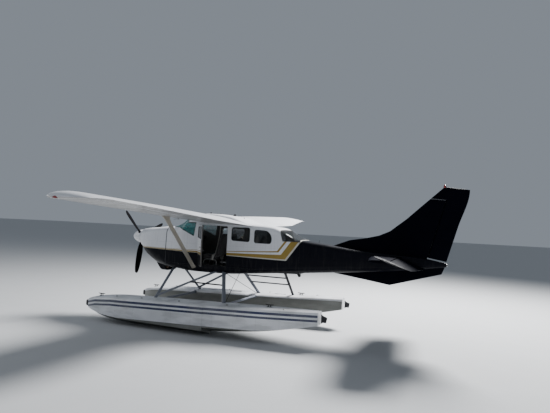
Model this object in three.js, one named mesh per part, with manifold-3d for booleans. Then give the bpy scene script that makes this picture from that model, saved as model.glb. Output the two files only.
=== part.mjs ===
// Utility floatplane: a high-wing single-engine aircraft standing on two floats.
// Millimetres, +Z up, +X aft, +Y starboard, so the nose points along -X.
// Every station below is measured aft of the spinner's tip and up from the thrust line.
// The root group then moves the whole aircraft, so that the origin lies on the ground under
// the middle of its overall length, on its plane of symmetry.

import * as THREE from 'three';
import { mergeVertices } from 'three/addons/utils/BufferGeometryUtils.js';
import Module from 'manifold-3d';

const wasm = await Module();
wasm.setup();

// Driving dimensions
const bumperNose = -390;
const rudderTail = 8610;
const keelDepth = 2100;
const seam = 0.3;
const doorGap = 6;

const cowlFront = 350;
const firewallFront = 1385;
const firewallBack = 1405;
const cabinEnd = 4930;
const tailEnd = 8180;

const skin = 12;
const wall = 35;
const glassThickness = 6;
const sillLevel = -600;
const floorLevel = -640;
const roofLevel = 440;

const doorOpenAngle = 55;
const elevatorDroop = 18;
const floatSpacing = 2400;

// How far the cutting solids reach beyond anything that they cut
const wide = 1500;
const long = 9000;
const far = 900;
const tall = 300;

// Finishes, with the colours that the photograph shows
const finish = (color, roughness, metalness) => ({ color, roughness, metalness });
const finishes = {
  white: finish(0xe9eaec, 0.35, 0.1),
  navy: finish(0x11141f, 0.35, 0.1),
  cream: finish(0xe2dccb, 0.4, 0.1),
  steel: finish(0x8b8d90, 0.4, 0.8),
  engine: finish(0x4c4e50, 0.6, 0.6),
  blade: finish(0x141416, 0.5, 0.2),
  glass: finish(0x8fb9bd, 0.08, 0),
  panel: finish(0x1b1b1d, 0.7, 0),
  seat: finish(0x56504b, 0.85, 0),
  exhaust: finish(0x6d5a4c, 0.6, 0.7),
};
const material = (name) => new THREE.MeshStandardMaterial(finishes[name]);

// The root group and the way a finished solid becomes a named mesh in it
const aircraft = new THREE.Group();
aircraft.name = 'floatplane';
aircraft.position.set(-(bumperNose + rudderTail) / 2, 0, keelDepth);

const toSolid = (geometry) => {
  const bare = geometry.index ? geometry.clone() : geometry;
  bare.deleteAttribute('normal');
  bare.deleteAttribute('uv');
  const merged = mergeVertices(bare, 1e-4);
  return new wasm.Manifold(new wasm.Mesh({
    numProp: 3,
    vertProperties: new Float32Array(merged.attributes.position.array),
    triVerts: new Uint32Array(merged.index.array),
  }));
};

const toGeometry = (solid) => {
  const { vertProperties, triVerts } = solid.getMesh();
  const geometry = new THREE.BufferGeometry();
  geometry.setAttribute('position', new THREE.BufferAttribute(new Float32Array(vertProperties), 3));
  geometry.setIndex(new THREE.BufferAttribute(new Uint32Array(triVerts), 1));
  geometry.computeVertexNormals();
  return geometry;
};

const addPiece = (name, solid, look, parent = aircraft) => {
  const mesh = new THREE.Mesh(toGeometry(solid), material(look));
  mesh.name = name;
  parent.add(mesh);
  return mesh;
};

const join = (...solids) => solids.reduce((whole, next) => whole.add(next));

// The same solid on the other side of the plane of symmetry
const mirrored = (solid) => {
  const geometry = toGeometry(solid);
  geometry.scale(1, -1, 1);
  const order = geometry.index.array;
  for (let i = 0; i < order.length; i += 3) {
    [order[i + 1], order[i + 2]] = [order[i + 2], order[i + 1]];
  }
  return toSolid(geometry);
};

const addPair = (name, starboard, look, parent = aircraft) => {
  addPiece(`${name}_right`, starboard, look, parent);
  addPiece(`${name}_left`, mirrored(starboard), look, parent);
};

// A closed skin through rings of points, all rings with the same count, the ends capped
const loft = (rings) => {
  const count = rings[0].length;
  const points = rings.flat();
  const faces = [];
  for (let ring = 0; ring < rings.length - 1; ring += 1) {
    for (let i = 0; i < count; i += 1) {
      const next = (i + 1) % count;
      const a = ring * count;
      const b = a + count;
      faces.push(a + i, b + i, b + next, a + i, b + next, a + next);
    }
  }
  [0, rings.length - 1].forEach((ring) => {
    const middle = new THREE.Vector3();
    rings[ring].forEach((point) => middle.add(point));
    points.push(middle.divideScalar(count));
    const hub = points.length - 1;
    for (let i = 0; i < count; i += 1) {
      const here = ring * count + i;
      const next = ring * count + ((i + 1) % count);
      faces.push(...(ring === 0 ? [hub, here, next] : [hub, next, here]));
    }
  });
  const geometry = new THREE.BufferGeometry().setFromPoints(points);
  geometry.setIndex(faces);
  const solid = toSolid(geometry);
  if (solid.volume() > 0) return solid;
  geometry.setIndex(faces.reverse());
  return toSolid(geometry);
};

// An outline of [aft, up] points pushed through from one y to another
const slab = (outline, fromY, toY) => {
  const shape = new THREE.Shape(outline.map(([x, z]) => new THREE.Vector2(x, z)));
  const geometry = new THREE.ExtrudeGeometry(shape, { depth: toY - fromY, bevelEnabled: false });
  geometry.rotateX(Math.PI / 2);
  geometry.translate(0, toY, 0);
  return toSolid(geometry);
};

const box = (fromX, toX, fromY, toY, fromZ, toZ) => {
  const geometry = new THREE.BoxGeometry(toX - fromX, toY - fromY, toZ - fromZ);
  geometry.translate((fromX + toX) / 2, (fromY + toY) / 2, (fromZ + toZ) / 2);
  return toSolid(geometry);
};

// A prism whose section of [aft, side] points runs from one point to another. Where it runs fore
// and aft itself, the section's first number counts upward instead.
const mostlyAft = 0.95;
const prism = (section, start, end) => {
  const along = new THREE.Vector3().subVectors(end, start);
  const depth = along.length();
  along.normalize();
  const aft = Math.abs(along.x) > mostlyAft ? new THREE.Vector3(0, 0, 1) : new THREE.Vector3(1, 0, 0);
  aft.addScaledVector(along, -aft.dot(along)).normalize();
  const side = new THREE.Vector3().crossVectors(along, aft);
  const shape = new THREE.Shape(section.map(([a, b]) => new THREE.Vector2(a, b)));
  const geometry = new THREE.ExtrudeGeometry(shape, { depth, bevelEnabled: false });
  geometry.applyMatrix4(new THREE.Matrix4().makeBasis(aft, side, along));
  geometry.translate(start.x, start.y, start.z);
  return toSolid(geometry);
};

const point = (x, y, z) => new THREE.Vector3(x, y, z);

const oval = (length, width, steps = 12) => Array.from({ length: steps }, (_, i) => {
  const turn = (2 * Math.PI * i) / steps;
  return [(length / 2) * Math.cos(turn), (width / 2) * Math.sin(turn)];
});

const rod = (start, end, diameter, steps = 10) => prism(oval(diameter, diameter, steps), start, end);

// A cylinder or cone of revolution about the thrust line, from [x, radius] points
const turned = (profile, steps) => {
  const geometry = new THREE.LatheGeometry(profile.map(([x, r]) => new THREE.Vector2(r, x)), steps);
  geometry.rotateZ(-Math.PI / 2);
  return toSolid(geometry);
};

// Fuselage: rounded rectangles along the body
// Columns: station, half width, bottom, top, lower corner radius, upper corner radius
const fuselageRows = [
  [350, 215, -195, 177, 190, 170],
  [450, 325, -280, 203, 245, 185],
  [600, 420, -420, 225, 300, 195],
  [760, 472, -540, 246, 320, 190],
  [1100, 525, -688, 280, 290, 190],
  [1390, 550, -724, 311, 190, 190],
  [1530, 560, -730, 316, 160, 200],
  [1750, 580, -745, 440, 150, 350],
  [1960, 596, -765, 540, 140, 200],
  [2150, 602, -775, 605, 130, 110],
  [2600, 606, -780, 680, 120, 90],
  [3150, 606, -770, 635, 120, 90],
  [3750, 590, -722, 455, 120, 90],
  [4250, 530, -678, 425, 130, 100],
  [4930, 415, -628, 148, 150, 110],
  [5600, 325, -572, 66, 150, 120],
  [6600, 228, -480, -32, 120, 100],
  [7500, 125, -375, -74, 80, 70],
  [8180, 34, -262, -172, 25, 25],
];
const cornerSteps = 4;
const smallestRadius = 8;

const fuselageRing = ([x, halfWidth, bottom, top, lowRadius, highRadius], inset) => {
  const ring = [];
  const corners = [[1, -1, lowRadius], [1, 1, highRadius], [-1, 1, highRadius], [-1, -1, lowRadius]];
  corners.forEach(([side, up, radius], quarter) => {
    const r = Math.max(radius - inset, smallestRadius);
    const y = side * (halfWidth - inset - r);
    const z = up > 0 ? top - inset - r : bottom + inset + r;
    for (let i = 0; i <= cornerSteps; i += 1) {
      const turn = (Math.PI / 2) * (quarter - 1 + i / cornerSteps);
      ring.push(point(x, y + r * Math.cos(turn), z + r * Math.sin(turn)));
    }
  });
  return ring;
};

const fuselage = (inset = 0) => loft(fuselageRows.map((row) => fuselageRing(row, inset)));
const body = fuselage();
const bodyClear = fuselage(-seam);
const skinInside = fuselage(skin);
const wallInside = fuselage(wall);
const glassInside = fuselage(glassThickness);

const slice = (from, to) => box(from, to, -wide, wide, -wide, wide);

// Cowling: a thin shell with two air inlets, the shaft's hole and the scoop below it, which is
// open to the rear, where the cooling air and the exhaust pipe leave
const inletPlace = [215, 20];
const inletSize = [200, 130];
const inletDepth = 160;
const shaftHole = 190;
const scoop = { front: 890, knee: 1120, back: 1240, reach: 300, brim: -590, low: -850, high: -540 };
const cowlShell = body.intersect(slice(cowlFront, firewallFront - seam))
  .subtract(skinInside.intersect(slice(cowlFront + skin, firewallFront + skin)));
const holeThrough = (outline, y, z) => {
  const ends = [cowlFront - skin, cowlFront + inletDepth];
  const geometry = new THREE.ExtrudeGeometry(
    new THREE.Shape(outline.map(([a, b]) => new THREE.Vector2(a, b))),
    { depth: ends[1] - ends[0], bevelEnabled: false },
  );
  geometry.applyMatrix4(new THREE.Matrix4().makeBasis(point(0, 1, 0), point(0, 0, 1), point(1, 0, 0)));
  geometry.translate(ends[0], y, z);
  return toSolid(geometry);
};
const inlets = [-1, 1].map((side) => holeThrough(oval(...inletSize, 14), side * inletPlace[0], inletPlace[1]));
const scoopShape = (inset, back) => slab([
  [scoop.front + inset, scoop.high],
  [scoop.front + inset, scoop.brim],
  [scoop.knee, scoop.low + inset],
  [back, scoop.low + inset],
  [back, scoop.high],
], inset - scoop.reach, scoop.reach - inset);
addPiece('cowling', cowlShell
  .subtract(join(...inlets, holeThrough(oval(shaftHole, shaftHole, 16), 0, 0)))
  .add(scoopShape(0, scoop.back).subtract(skinInside))
  .subtract(scoopShape(skin, scoop.back + skin)), 'white');

// Engine: one plain block with its shaft, its mount tubes and the exhaust pipe
const block = { front: 660, back: 1180, reach: 330, low: -290, high: 110 };
const spinnerBack = 340;
const shaftDiameter = 110;
const overlap = 20;
const mountDiameter = 28;
const mountFront = { reach: 240, rise: 130, middle: -110 };
const mountBack = { reach: 300, rise: 220, middle: -130 };
const engineBlock = box(block.front, block.back, -block.reach, block.reach, block.low, block.high);
const shaft = rod(point(spinnerBack + seam, 0, 0), point(block.front + overlap, 0, 0), shaftDiameter, 14);
const mountTubes = [[-1, -1], [-1, 1], [1, -1], [1, 1]].map(([side, up]) => rod(
  point(block.back - overlap, side * mountFront.reach, up * mountFront.rise + mountFront.middle),
  point(firewallBack, side * mountBack.reach, up * mountBack.rise + mountBack.middle),
  mountDiameter,
  8,
));
const engine = join(engineBlock, shaft, ...mountTubes).intersect(slice(0, firewallFront - seam));
addPiece('engine_block', engine, 'engine');
const pipeDiameter = 80;
const pipeTop = point(1110, -180, -250);
const pipeBend = point(1140, -200, -745);
const tailpipe = [point(1140, -200, -700), point(1270, -200, -772)];
addPiece('exhaust_pipe', join(
  rod(pipeTop, pipeBend, pipeDiameter),
  rod(...tailpipe, pipeDiameter),
).subtract(engine.translate([0, 0, -seam])).subtract(engineBlock), 'exhaust');

addPiece('firewall', body.intersect(slice(firewallFront, firewallBack)), 'steel');

// Propeller: a spinner that holds three blades by their round roots
const propellerStation = 270;
const bladeTip = 1016;
const propellerPhase = 50.2;
const bladeRoot = 60;
const rootDiameter = 84;
const socketEnd = 260;
const spinnerProfile = [
  [0, 0], [12, 40], [60, 95], [130, 138], [210, 167], [290, 180], [spinnerBack, 182], [spinnerBack, 0],
];
const bladeLine = (index, from, to) => {
  const turn = THREE.MathUtils.degToRad(propellerPhase + 120 * index);
  const out = point(0, -Math.sin(turn), Math.cos(turn));
  return [from, to].map((radius) => out.clone().multiplyScalar(radius).setX(propellerStation));
};
const rootSides = 12;
const socketDiameter = rootDiameter / Math.cos(Math.PI / rootSides) + 2 * seam;
const sockets = [0, 1, 2]
  .map((i) => rod(...bladeLine(i, bladeRoot - seam, socketEnd), socketDiameter, rootSides));
addPiece('spinner', turned(spinnerProfile, 24).subtract(join(...sockets)), 'white');

// Columns: radius, chord, thickness, pitch in degrees
const bladeRows = [
  [60, 84, 84, 0],
  [190, 84, 84, 40],
  [270, 120, 44, 38],
  [450, 162, 27, 30],
  [760, 158, 17, 22],
  [950, 118, 11, 18],
  [bladeTip, 50, 7, 16],
];
const blade = loft(bladeRows.map(([radius, chord, thickness, pitch]) => {
  const twist = THREE.MathUtils.degToRad(90 + pitch);
  return oval(chord, thickness, rootSides).map(([a, b]) => point(
    propellerStation + a * Math.cos(twist) + b * Math.sin(twist),
    a * Math.sin(twist) - b * Math.cos(twist),
    radius,
  ));
}));
for (let i = 0; i < 3; i += 1) {
  const turn = THREE.MathUtils.degToRad(propellerPhase + 120 * i);
  const geometry = toGeometry(blade);
  geometry.rotateX(turn);
  addPiece(`propeller_blade_${i + 1}`, toSolid(geometry), 'blade');
}

// Cabin outlines, as [aft, up] points
const browStation = 2050;
const windshieldOutline = [
  [1500, 317], [1770, 300], [2215, 108], [2262, roofLevel],
  [browStation, roofLevel], [browStation, 800], [1500, 800],
];
const rearWindowOutline = [[4390, 600], [4530, 105], [5100, 105], [5100, 600]];
const middleWindow = [[3262, 55], [3262, 365], [3728, 375], [3728, 40]];
const rearSideWindow = [[3850, 25], [3850, 335], [4140, 325], [4215, 275], [4270, 165], [4255, 25]];
const doorWindow = [[2412, 82], [2428, 340], [3070, 345], [3070, 60]];
const doorHole = [[2340, -592], [3150, -592], [3150, 392], [2340, 392]];

// An outline grown outward (or shrunk, below zero) by moving each edge along its normal
const grown = (outline, amount) => outline.map((here, i) => {
  const count = outline.length;
  const before = outline[(i + count - 1) % count];
  const after = outline[(i + 1) % count];
  const area = outline.reduce((sum, [x, z], j) => {
    const [nextX, nextZ] = outline[(j + 1) % count];
    return sum + x * nextZ - nextX * z;
  }, 0);
  const sign = Math.sign(area);
  const normal = ([x0, z0], [x1, z1]) => {
    const length = Math.hypot(x1 - x0, z1 - z0);
    return [(sign * (z1 - z0)) / length, (-sign * (x1 - x0)) / length];
  };
  const [n0, n1] = [normal(before, here), normal(here, after)];
  const scale = amount / (1 + n0[0] * n1[0] + n0[1] * n1[1]);
  return [here[0] + (n0[0] + n1[0]) * scale, here[1] + (n0[1] + n1[1]) * scale];
});

const starboard = (outline, amount = 0) => slab(grown(outline, amount), 200, wide);
const across = (outline, amount = 0) => slab(grown(outline, amount), -wide, wide);

const shell = body.subtract(wallInside);
const glassShell = body.subtract(glassInside);
const cabin = slice(firewallBack + seam, cabinEnd - seam);
const cabinShell = shell.intersect(cabin);
const windshieldHole = across(windshieldOutline, seam);
const rearWindowHole = across(rearWindowOutline, seam);

addPiece('windshield', glassShell.intersect(across(windshieldOutline)), 'glass');
addPiece('rear_window', glassShell.intersect(cabin).intersect(across(rearWindowOutline)), 'glass');

// Belly tub with the cabin floor and the seats' pedestals
const seatPlaces = [[2390, -285], [2390, 285], [3240, -285], [3240, 285]];
const seatSize = { length: 480, width: 450, cushion: 110, back: 90, backHeight: 560 };
const cushionBottom = -440;
const seatLean = 110;
const legSize = 36;
const legInset = 60;
const legSunk = 20;
const frameInset = 20;
const frameHeight = 30;
const pedestal = ([x, y]) => {
  const front = x + legInset;
  const rear = x + seatSize.length - legInset;
  const reach = seatSize.width / 2 - legInset;
  const legs = [[front, -reach], [front, reach], [rear, -reach], [rear, reach]].map(([legX, offset]) => box(
    legX - legSize / 2,
    legX + legSize / 2,
    y + offset - legSize / 2,
    y + offset + legSize / 2,
    floorLevel - legSunk,
    cushionBottom - seam,
  ));
  const frame = box(
    x + frameInset,
    x + seatSize.length - frameInset,
    y - seatSize.width / 2 + frameInset,
    y + seatSize.width / 2 - frameInset,
    cushionBottom - seam - frameHeight,
    cushionBottom - seam,
  );
  return join(...legs, frame);
};
const tubRoom = wallInside.intersect(box(0, long, -wide, wide, floorLevel, 0));
const tub = body.intersect(cabin).subtract(tubRoom)
  .intersect(box(0, long, -wide, wide, -wide, sillLevel - seam));
addPiece('cabin_floor', join(tub, ...seatPlaces.map(pedestal)), 'navy');

// Cabin sides, each one panel from the sill to the roof line, with door and window holes
const deckLevel = 215;
const deckEnd = 1850;
const sideBand = box(0, long, -wide, wide, sillLevel, roofLevel - seam);
const sides = cabinShell.intersect(sideBand).subtract(windshieldHole).subtract(rearWindowHole);
const deckZone = box(firewallBack, deckEnd, -wide, wide, deckLevel, wide);
const sidePanels = sides
  .subtract(box(0, deckEnd + seam, -wide, wide, deckLevel - seam, wide));
const rightSide = sidePanels.intersect(box(0, long, seam / 2, wide, -wide, wide));

// A butt hinge outside the skin: the door's knuckle turns between two fixed ones,
// and each leaf runs along the skin before it sinks into its panel
const hingeX = doorHole[0][0] - doorGap / 2;
const hingeOut = 12;
const hingeHeights = [-400, 150];
const knuckleDiameter = 18;
const knuckleLength = 70;
const leafReach = 46;
const leafSink = 8;
const leafInner = 9;
const leafOuter = 4;
const sideAt = (station) => {
  const next = fuselageRows.findIndex(([x]) => x >= station);
  const [low, high] = [fuselageRows[next - 1], fuselageRows[next]];
  return THREE.MathUtils.mapLinear(station, low[0], high[0], low[1], high[1]);
};
const hingeY = sideAt(hingeX) + hingeOut;
const knuckle = (low, high) => rod(point(hingeX, hingeY, low), point(hingeX, hingeY, high), knuckleDiameter, 12);
const leaf = (direction, low, high) => {
  const end = hingeX + direction * leafReach;
  const sinkStart = hingeX + direction * 2 * doorGap;
  const flat = [hingeY - leafInner, hingeY + leafOuter];
  return join(
    box(Math.min(hingeX, end), Math.max(hingeX, end), ...flat, low, high),
    box(Math.min(sinkStart, end), Math.max(sinkStart, end), flat[0] - leafSink, flat[1], low, high),
  );
};
const movingHinges = hingeHeights.map((z) => {
  const span = [z - knuckleLength / 2, z + knuckleLength / 2];
  return join(knuckle(...span), leaf(1, ...span));
});
const fixedHinges = hingeHeights.flatMap((z) => [-1, 1].map((up) => {
  const middle = z + up * (knuckleLength + seam);
  const span = [middle - knuckleLength / 2, middle + knuckleLength / 2];
  return join(knuckle(...span), leaf(-1, ...span));
}));

addPair('cabin_side', join(
  rightSide
    .subtract(starboard(doorHole))
    .subtract(starboard(middleWindow, seam))
    .subtract(starboard(rearSideWindow, seam)),
  ...fixedHinges,
), 'white');
addPair('window_middle', glassShell.intersect(starboard(middleWindow)), 'glass');
addPair('window_rear', glassShell.intersect(starboard(rearSideWindow)), 'glass');

addPiece('front_deck', cabinShell.intersect(deckZone).subtract(windshieldHole), 'white');
addPiece('cabin_roof', cabinShell
  .intersect(box(browStation + seam, cabinEnd, -wide, wide, roofLevel, wide))
  .subtract(rearWindowHole), 'white');

// Doors, cut from the same shell, a small gap inside their holes: the starboard one is shut
// and the pilot's, to port, stands open
const doorPanel = join(
  cabinShell.intersect(starboard(doorHole, -doorGap)).subtract(starboard(doorWindow, seam)),
  ...movingHinges,
);
const doorGlass = glassShell.intersect(starboard(doorWindow));
const doorGroup = (side, openAngle) => {
  const group = new THREE.Group();
  group.position.set(hingeX, side * hingeY, 0);
  group.rotation.z = THREE.MathUtils.degToRad(side * openAngle);
  aircraft.add(group);
  return group;
};
const aboutHinge = (solid) => solid.translate([-hingeX, -hingeY, 0]);
const pilotDoor = doorGroup(-1, doorOpenAngle);
addPiece('pilot_door', mirrored(aboutHinge(doorPanel)), 'white', pilotDoor);
addPiece('pilot_door_window', mirrored(aboutHinge(doorGlass)), 'glass', pilotDoor);
const passengerDoor = doorGroup(1, 0);
addPiece('passenger_door', aboutHinge(doorPanel), 'white', passengerDoor);
addPiece('passenger_door_window', aboutHinge(doorGlass), 'glass', passengerDoor);

// Instrument panel and the two control yokes on its face
const panelShape = [[1600, -120], [1600, 225], [1680, 250], [1760, 250], [1735, -120]];
const yokes = { reach: 270, shaftFront: 1700, wheel: 1985, shaftLevel: 10, gripLow: 30, gripHigh: 110, grip: 120 };
const yokeShaft = 26;
const yokeGrip = 28;
const braceStart = { station: 1650, reach: 300, level: -100 };
const braceDrop = 50;
const braceDiameter = 30;
const panelZoneEnd = 2200;
const roomInside = fuselage(wall + seam);
const panelBody = roomInside.intersect(across(panelShape));
const yoke = (side) => {
  const { wheel, grip, gripLow, gripHigh, shaftLevel } = yokes;
  const y = side * yokes.reach;
  return join(
    rod(point(yokes.shaftFront, y, shaftLevel), point(wheel, y, shaftLevel), yokeShaft),
    rod(point(wheel, y - grip, gripLow), point(wheel, y + grip, gripLow), yokeGrip),
    rod(point(wheel, y - grip, gripLow), point(wheel, y - grip, gripHigh), yokeGrip),
    rod(point(wheel, y + grip, gripLow), point(wheel, y + grip, gripHigh), yokeGrip),
  );
};
const panelBraces = [-1, 1].map((side) => rod(
  point(braceStart.station, side * braceStart.reach, braceStart.level),
  point(firewallFront, side * braceStart.reach, braceStart.level - braceDrop),
  braceDiameter,
));
addPiece('instrument_panel', join(panelBody, yoke(-1), yoke(1), ...panelBraces)
  .intersect(slice(firewallBack + seam, panelZoneEnd)), 'panel');

// Seats: each pad is a cushion with its back in one soft piece
const seatOutline = ([x]) => {
  const { length, cushion, back, backHeight } = seatSize;
  const rear = x + length;
  const seatTop = cushionBottom + cushion;
  const backTop = seatTop + backHeight;
  return [
    [x, cushionBottom], [rear, cushionBottom], [rear + seatLean, backTop],
    [rear + seatLean - back, backTop], [rear - back, seatTop], [x, seatTop],
  ];
};
['seat_front_left', 'seat_front_right', 'seat_middle_left', 'seat_middle_right'].forEach((name, i) => {
  const y = seatPlaces[i][1];
  const half = seatSize.width / 2;
  addPiece(name, slab(seatOutline(seatPlaces[i]), y - half, y + half), 'seat');
});

// Tailcone and the bulkhead in front of it
const bulkheadBack = cabinEnd + 15;
const coneHollowEnd = 7900;
addPiece('rear_bulkhead', body.intersect(slice(cabinEnd, bulkheadBack)), 'steel');
const tailcone = body.intersect(slice(bulkheadBack + seam, tailEnd))
  .subtract(skinInside.intersect(slice(bulkheadBack - skin, coneHollowEnd)));

// A wing-like skin from a table of [fraction of chord, upper, lower] heights
const wingShape = [
  [0, 0, 0],
  [0.012, 0.021, -0.016],
  [0.05, 0.041, -0.03],
  [0.13, 0.062, -0.04],
  [0.3, 0.079, -0.041],
  [0.5, 0.072, -0.033],
  [0.7, 0.052, -0.022],
  [1, 0.002, -0.002],
];
const tailShape = [
  [0, 0, 0],
  [0.03, 0.6, -0.6],
  [0.12, 0.9, -0.9],
  [0.35, 1, -1],
  [0.65, 0.75, -0.75],
  [1, 0.06, -0.06],
];
const airfoil = (shape) => [
  ...shape.map(([along, upper]) => [along, upper]),
  ...shape.slice(1).reverse().map(([along, , lower]) => [along, lower]),
];

// Wing. Columns: y, leading edge, chord, height of the quarter chord, twist, thickness factor
const wingRows = [
  [560, 2120, 1645, 521, 4.5, 1],
  [2540, 2120, 1645, 606, 4.5, 1],
  [5150, 2208, 1085, 722, 1, 1.1],
  [5360, 2250, 1030, 718, 0.9, 0.95],
  [5430, 2310, 950, 712, 0.8, 0.6],
  [5460, 2390, 840, 708, 0.8, 0.2],
];
const wingRing = ([y, lead, chord, height, twist, thickness]) => {
  const angle = THREE.MathUtils.degToRad(twist);
  return airfoil(wingShape).map(([along, up]) => {
    const x = (along - 0.25) * chord;
    const z = up * chord * thickness;
    return point(
      lead + 0.25 * chord + x * Math.cos(angle) + z * Math.sin(angle),
      y,
      height - x * Math.sin(angle) + z * Math.cos(angle),
    );
  });
};
const wholeWing = loft(wingRows.map(wingRing)).subtract(bodyClear);

// The points where the flap's and the aileron's hinges run, outboard end first. The flap turns
// about a line just below its lower front edge, and its front leans back from there. The aileron
// turns about its upper front edge, and its front is bevelled below.
const flapHinge = [point(3262, 3060, 535), point(3262, 650, 417)];
const aileronHinge = [point(3010, 5145, 767), point(3235, 3085, 658)];
const surfaceGap = 6;
const flapBevel = Math.tan(THREE.MathUtils.degToRad(4));
const aileronBevel = Math.tan(THREE.MathUtils.degToRad(22));
const flapZone = [[0, -tall], [far, -tall], [far, tall], [tall * flapBevel, tall], [0, 0]];
const aileronZone = [[0, tall], [0, 0], [tall * aileronBevel, -tall], [far, -tall], [far, tall]];
const behind = [[-seam, -tall], [far, -tall], [far, tall], [-seam, tall]];
const stretched = ([start, end], extra) => {
  const step = new THREE.Vector3().subVectors(end, start).setLength(extra);
  return [start.clone().sub(step), end.clone().add(step)];
};
const wing = wholeWing
  .subtract(prism(behind, ...stretched(flapHinge, surfaceGap)))
  .subtract(prism(behind, ...stretched(aileronHinge, surfaceGap)));
addPair('wing', wing, 'white');
addPair('flap', wholeWing.intersect(prism(flapZone, ...flapHinge)), 'white');
addPair('aileron', wholeWing.intersect(prism(aileronZone, ...aileronHinge)), 'white');

// Wing struts, from the lower fuselage to the wing's underside
const strutTop = point(2611, 2600, 572);
const strutFoot = point(2236, 522, -713);
const wingStrutSize = [118, 50];
const strutBlock = wholeWing.add(bodyClear);
addPair('wing_strut', prism(oval(...wingStrutSize), strutFoot, strutTop)
  .subtract(strutBlock.translate([0, 0, -seam]))
  .subtract(strutBlock), 'cream');

// Tailplane. Columns: y, leading edge, trailing edge, half thickness
const tailHeight = -140;
const stabilizerRows = [
  [40, 6540, 7800, 46],
  [1880, 6790, 7610, 26],
  [1980, 6880, 7590, 10],
];
const stabilizerRing = ([y, lead, trail, half]) => airfoil(tailShape)
  .map(([along, up]) => point(lead + along * (trail - lead), y, tailHeight + up * half));
const wholeTailplane = loft(stabilizerRows.map(stabilizerRing));
const elevatorHingeX = 7175;
const elevatorHinge = [point(elevatorHingeX, wide * 2, tailHeight), point(elevatorHingeX, 0, tailHeight)];
const noseBevel = Math.tan(THREE.MathUtils.degToRad(27));
const noseZone = [[0, 0], [tall * noseBevel, -tall], [far, -tall], [far, tall], [tall * noseBevel, tall]];

// The elevator's horn takes the whole tip beside the stabilizer's last rib
const elevatorHorn = { front: 6862, inner: 1840 };
const elevatorTip = (clearance) => box(
  elevatorHorn.front,
  long,
  elevatorHorn.inner + clearance,
  2 * wide,
  tailHeight - tall,
  tailHeight + tall,
);
addPair('stabilizer', wholeTailplane
  .subtract(bodyClear)
  .subtract(prism(behind, ...elevatorHinge))
  .intersect(box(0, long, 0, elevatorHorn.inner, -wide, wide)), 'navy');

// The elevator's halves sit on one tube, which turns in the tailcone
const tubeDiameter = 26;
const tubeBehind = 20;
const tubeReach = 240;
const elevatorRoot = 176;
const slotReach = 300;
const slotFront = 40;
const slotBack = 66;
const slotHalf = 44;
const elevatorHalf = wholeTailplane
  .intersect(prism(noseZone, ...elevatorHinge).add(elevatorTip(surfaceGap)))
  .subtract(box(0, long, -wide, elevatorRoot, -wide, wide));
const elevatorTube = rod(
  point(elevatorHingeX + tubeBehind, -tubeReach, tailHeight),
  point(elevatorHingeX + tubeBehind, tubeReach, tailHeight),
  tubeDiameter,
  12,
);
const elevatorGroup = new THREE.Group();
elevatorGroup.position.set(elevatorHingeX, 0, tailHeight);
elevatorGroup.rotation.y = THREE.MathUtils.degToRad(elevatorDroop);
aircraft.add(elevatorGroup);
addPiece('elevator', join(elevatorHalf, mirrored(elevatorHalf), elevatorTube)
  .translate([-elevatorHingeX, 0, -tailHeight]), 'navy', elevatorGroup);
const tubeSlot = box(
  elevatorHingeX - slotFront,
  elevatorHingeX + slotBack,
  -slotReach,
  slotReach,
  tailHeight - slotHalf,
  tailHeight + slotHalf,
);
addPiece('tailcone', tailcone.subtract(tubeSlot), 'navy');

// Fin with its dorsal strake, the rudder behind it and the fin below the tailcone
// Columns: height, leading edge, trailing edge, half thickness
const finRows = [
  [-260, 6320, 8145, 60],
  [615, 7155, 8388, 48],
  [1440, 8020, rudderTail, 32],
  [1505, 8090, rudderTail, 16],
];
const finRing = ([z, lead, trail, half]) => airfoil(tailShape)
  .map(([along, up]) => point(lead + along * (trail - lead), up * half, z));
const finTop = [[8000, 1512], [8085, 1506], [8700, 1440], [8700, 1600], [8000, 1600]];
const wholeFin = loft(finRows.map(finRing)).subtract(slab(finTop, -tall, tall));
const rudderHinge = [point(7768, 0, -110), point(8212, 0, 1520)];
const hornGap = 8;
const rudderFoot = [[7500, -400], [7500, -40], [7700, -64], [8800, -250], [8800, -400]];
const finBehind = prism(behind, ...stretched(rudderHinge, tall));

// The rudder's horn takes the fin's whole top above this line
const hornFoot = [[7500, 1251], [8207, 1203], [8800, 1163]];
const hornReach = 500;
const rudderHorn = (clearance) => slab([
  ...hornFoot.map(([x, z]) => [x, z + clearance]),
  [hornFoot[2][0], hornFoot[2][1] + hornReach],
  [hornFoot[0][0], hornFoot[0][1] + hornReach],
], -tall, tall);
const strakeHalf = 16;
const strakeOutline = [
  [5590, 40], [6034, 214], [6419, 284], [6700, 355], [6939, 464], [7300, 760], [7300, -150], [5590, -20],
];
const strake = slab(strakeOutline, -strakeHalf, strakeHalf);
addPiece('fin', wholeFin.add(strake)
  .subtract(finBehind)
  .subtract(rudderHorn(0))
  .subtract(bodyClear), 'navy');
addPiece('rudder', wholeFin
  .intersect(prism(noseZone, ...stretched(rudderHinge, tall)).add(rudderHorn(hornGap)))
  .subtract(slab(rudderFoot, -tall, tall)), 'navy');
const ventralHalf = 14;
const ventralOutline = [[5560, -560], [6978, -755], [8085, -425], [8150, -262], [7900, -240], [5560, -480]];
addPiece('ventral_fin', slab(ventralOutline, -ventralHalf, ventralHalf).subtract(bodyClear), 'navy');

// Floats
// Columns: station, half beam, deck, chine, keel
const forebodyRows = [
  [-345, 55, -1650, -1765, -1795],
  [-240, 165, -1590, -1800, -1890],
  [60, 280, -1520, -1860, -2005],
  [560, 355, -1472, -1915, -2072],
  [1150, 380, -1452, -1945, -2100],
  [3100, 380, -1400, -1965, -2100],
];
const afterbodyRows = [
  [3000, 374, -1405, -1905, -2045],
  [4300, 330, -1358, -1825, -1905],
  [5300, 225, -1328, -1675, -1710],
  [5700, 160, -1318, -1588, -1606],
];
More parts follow.
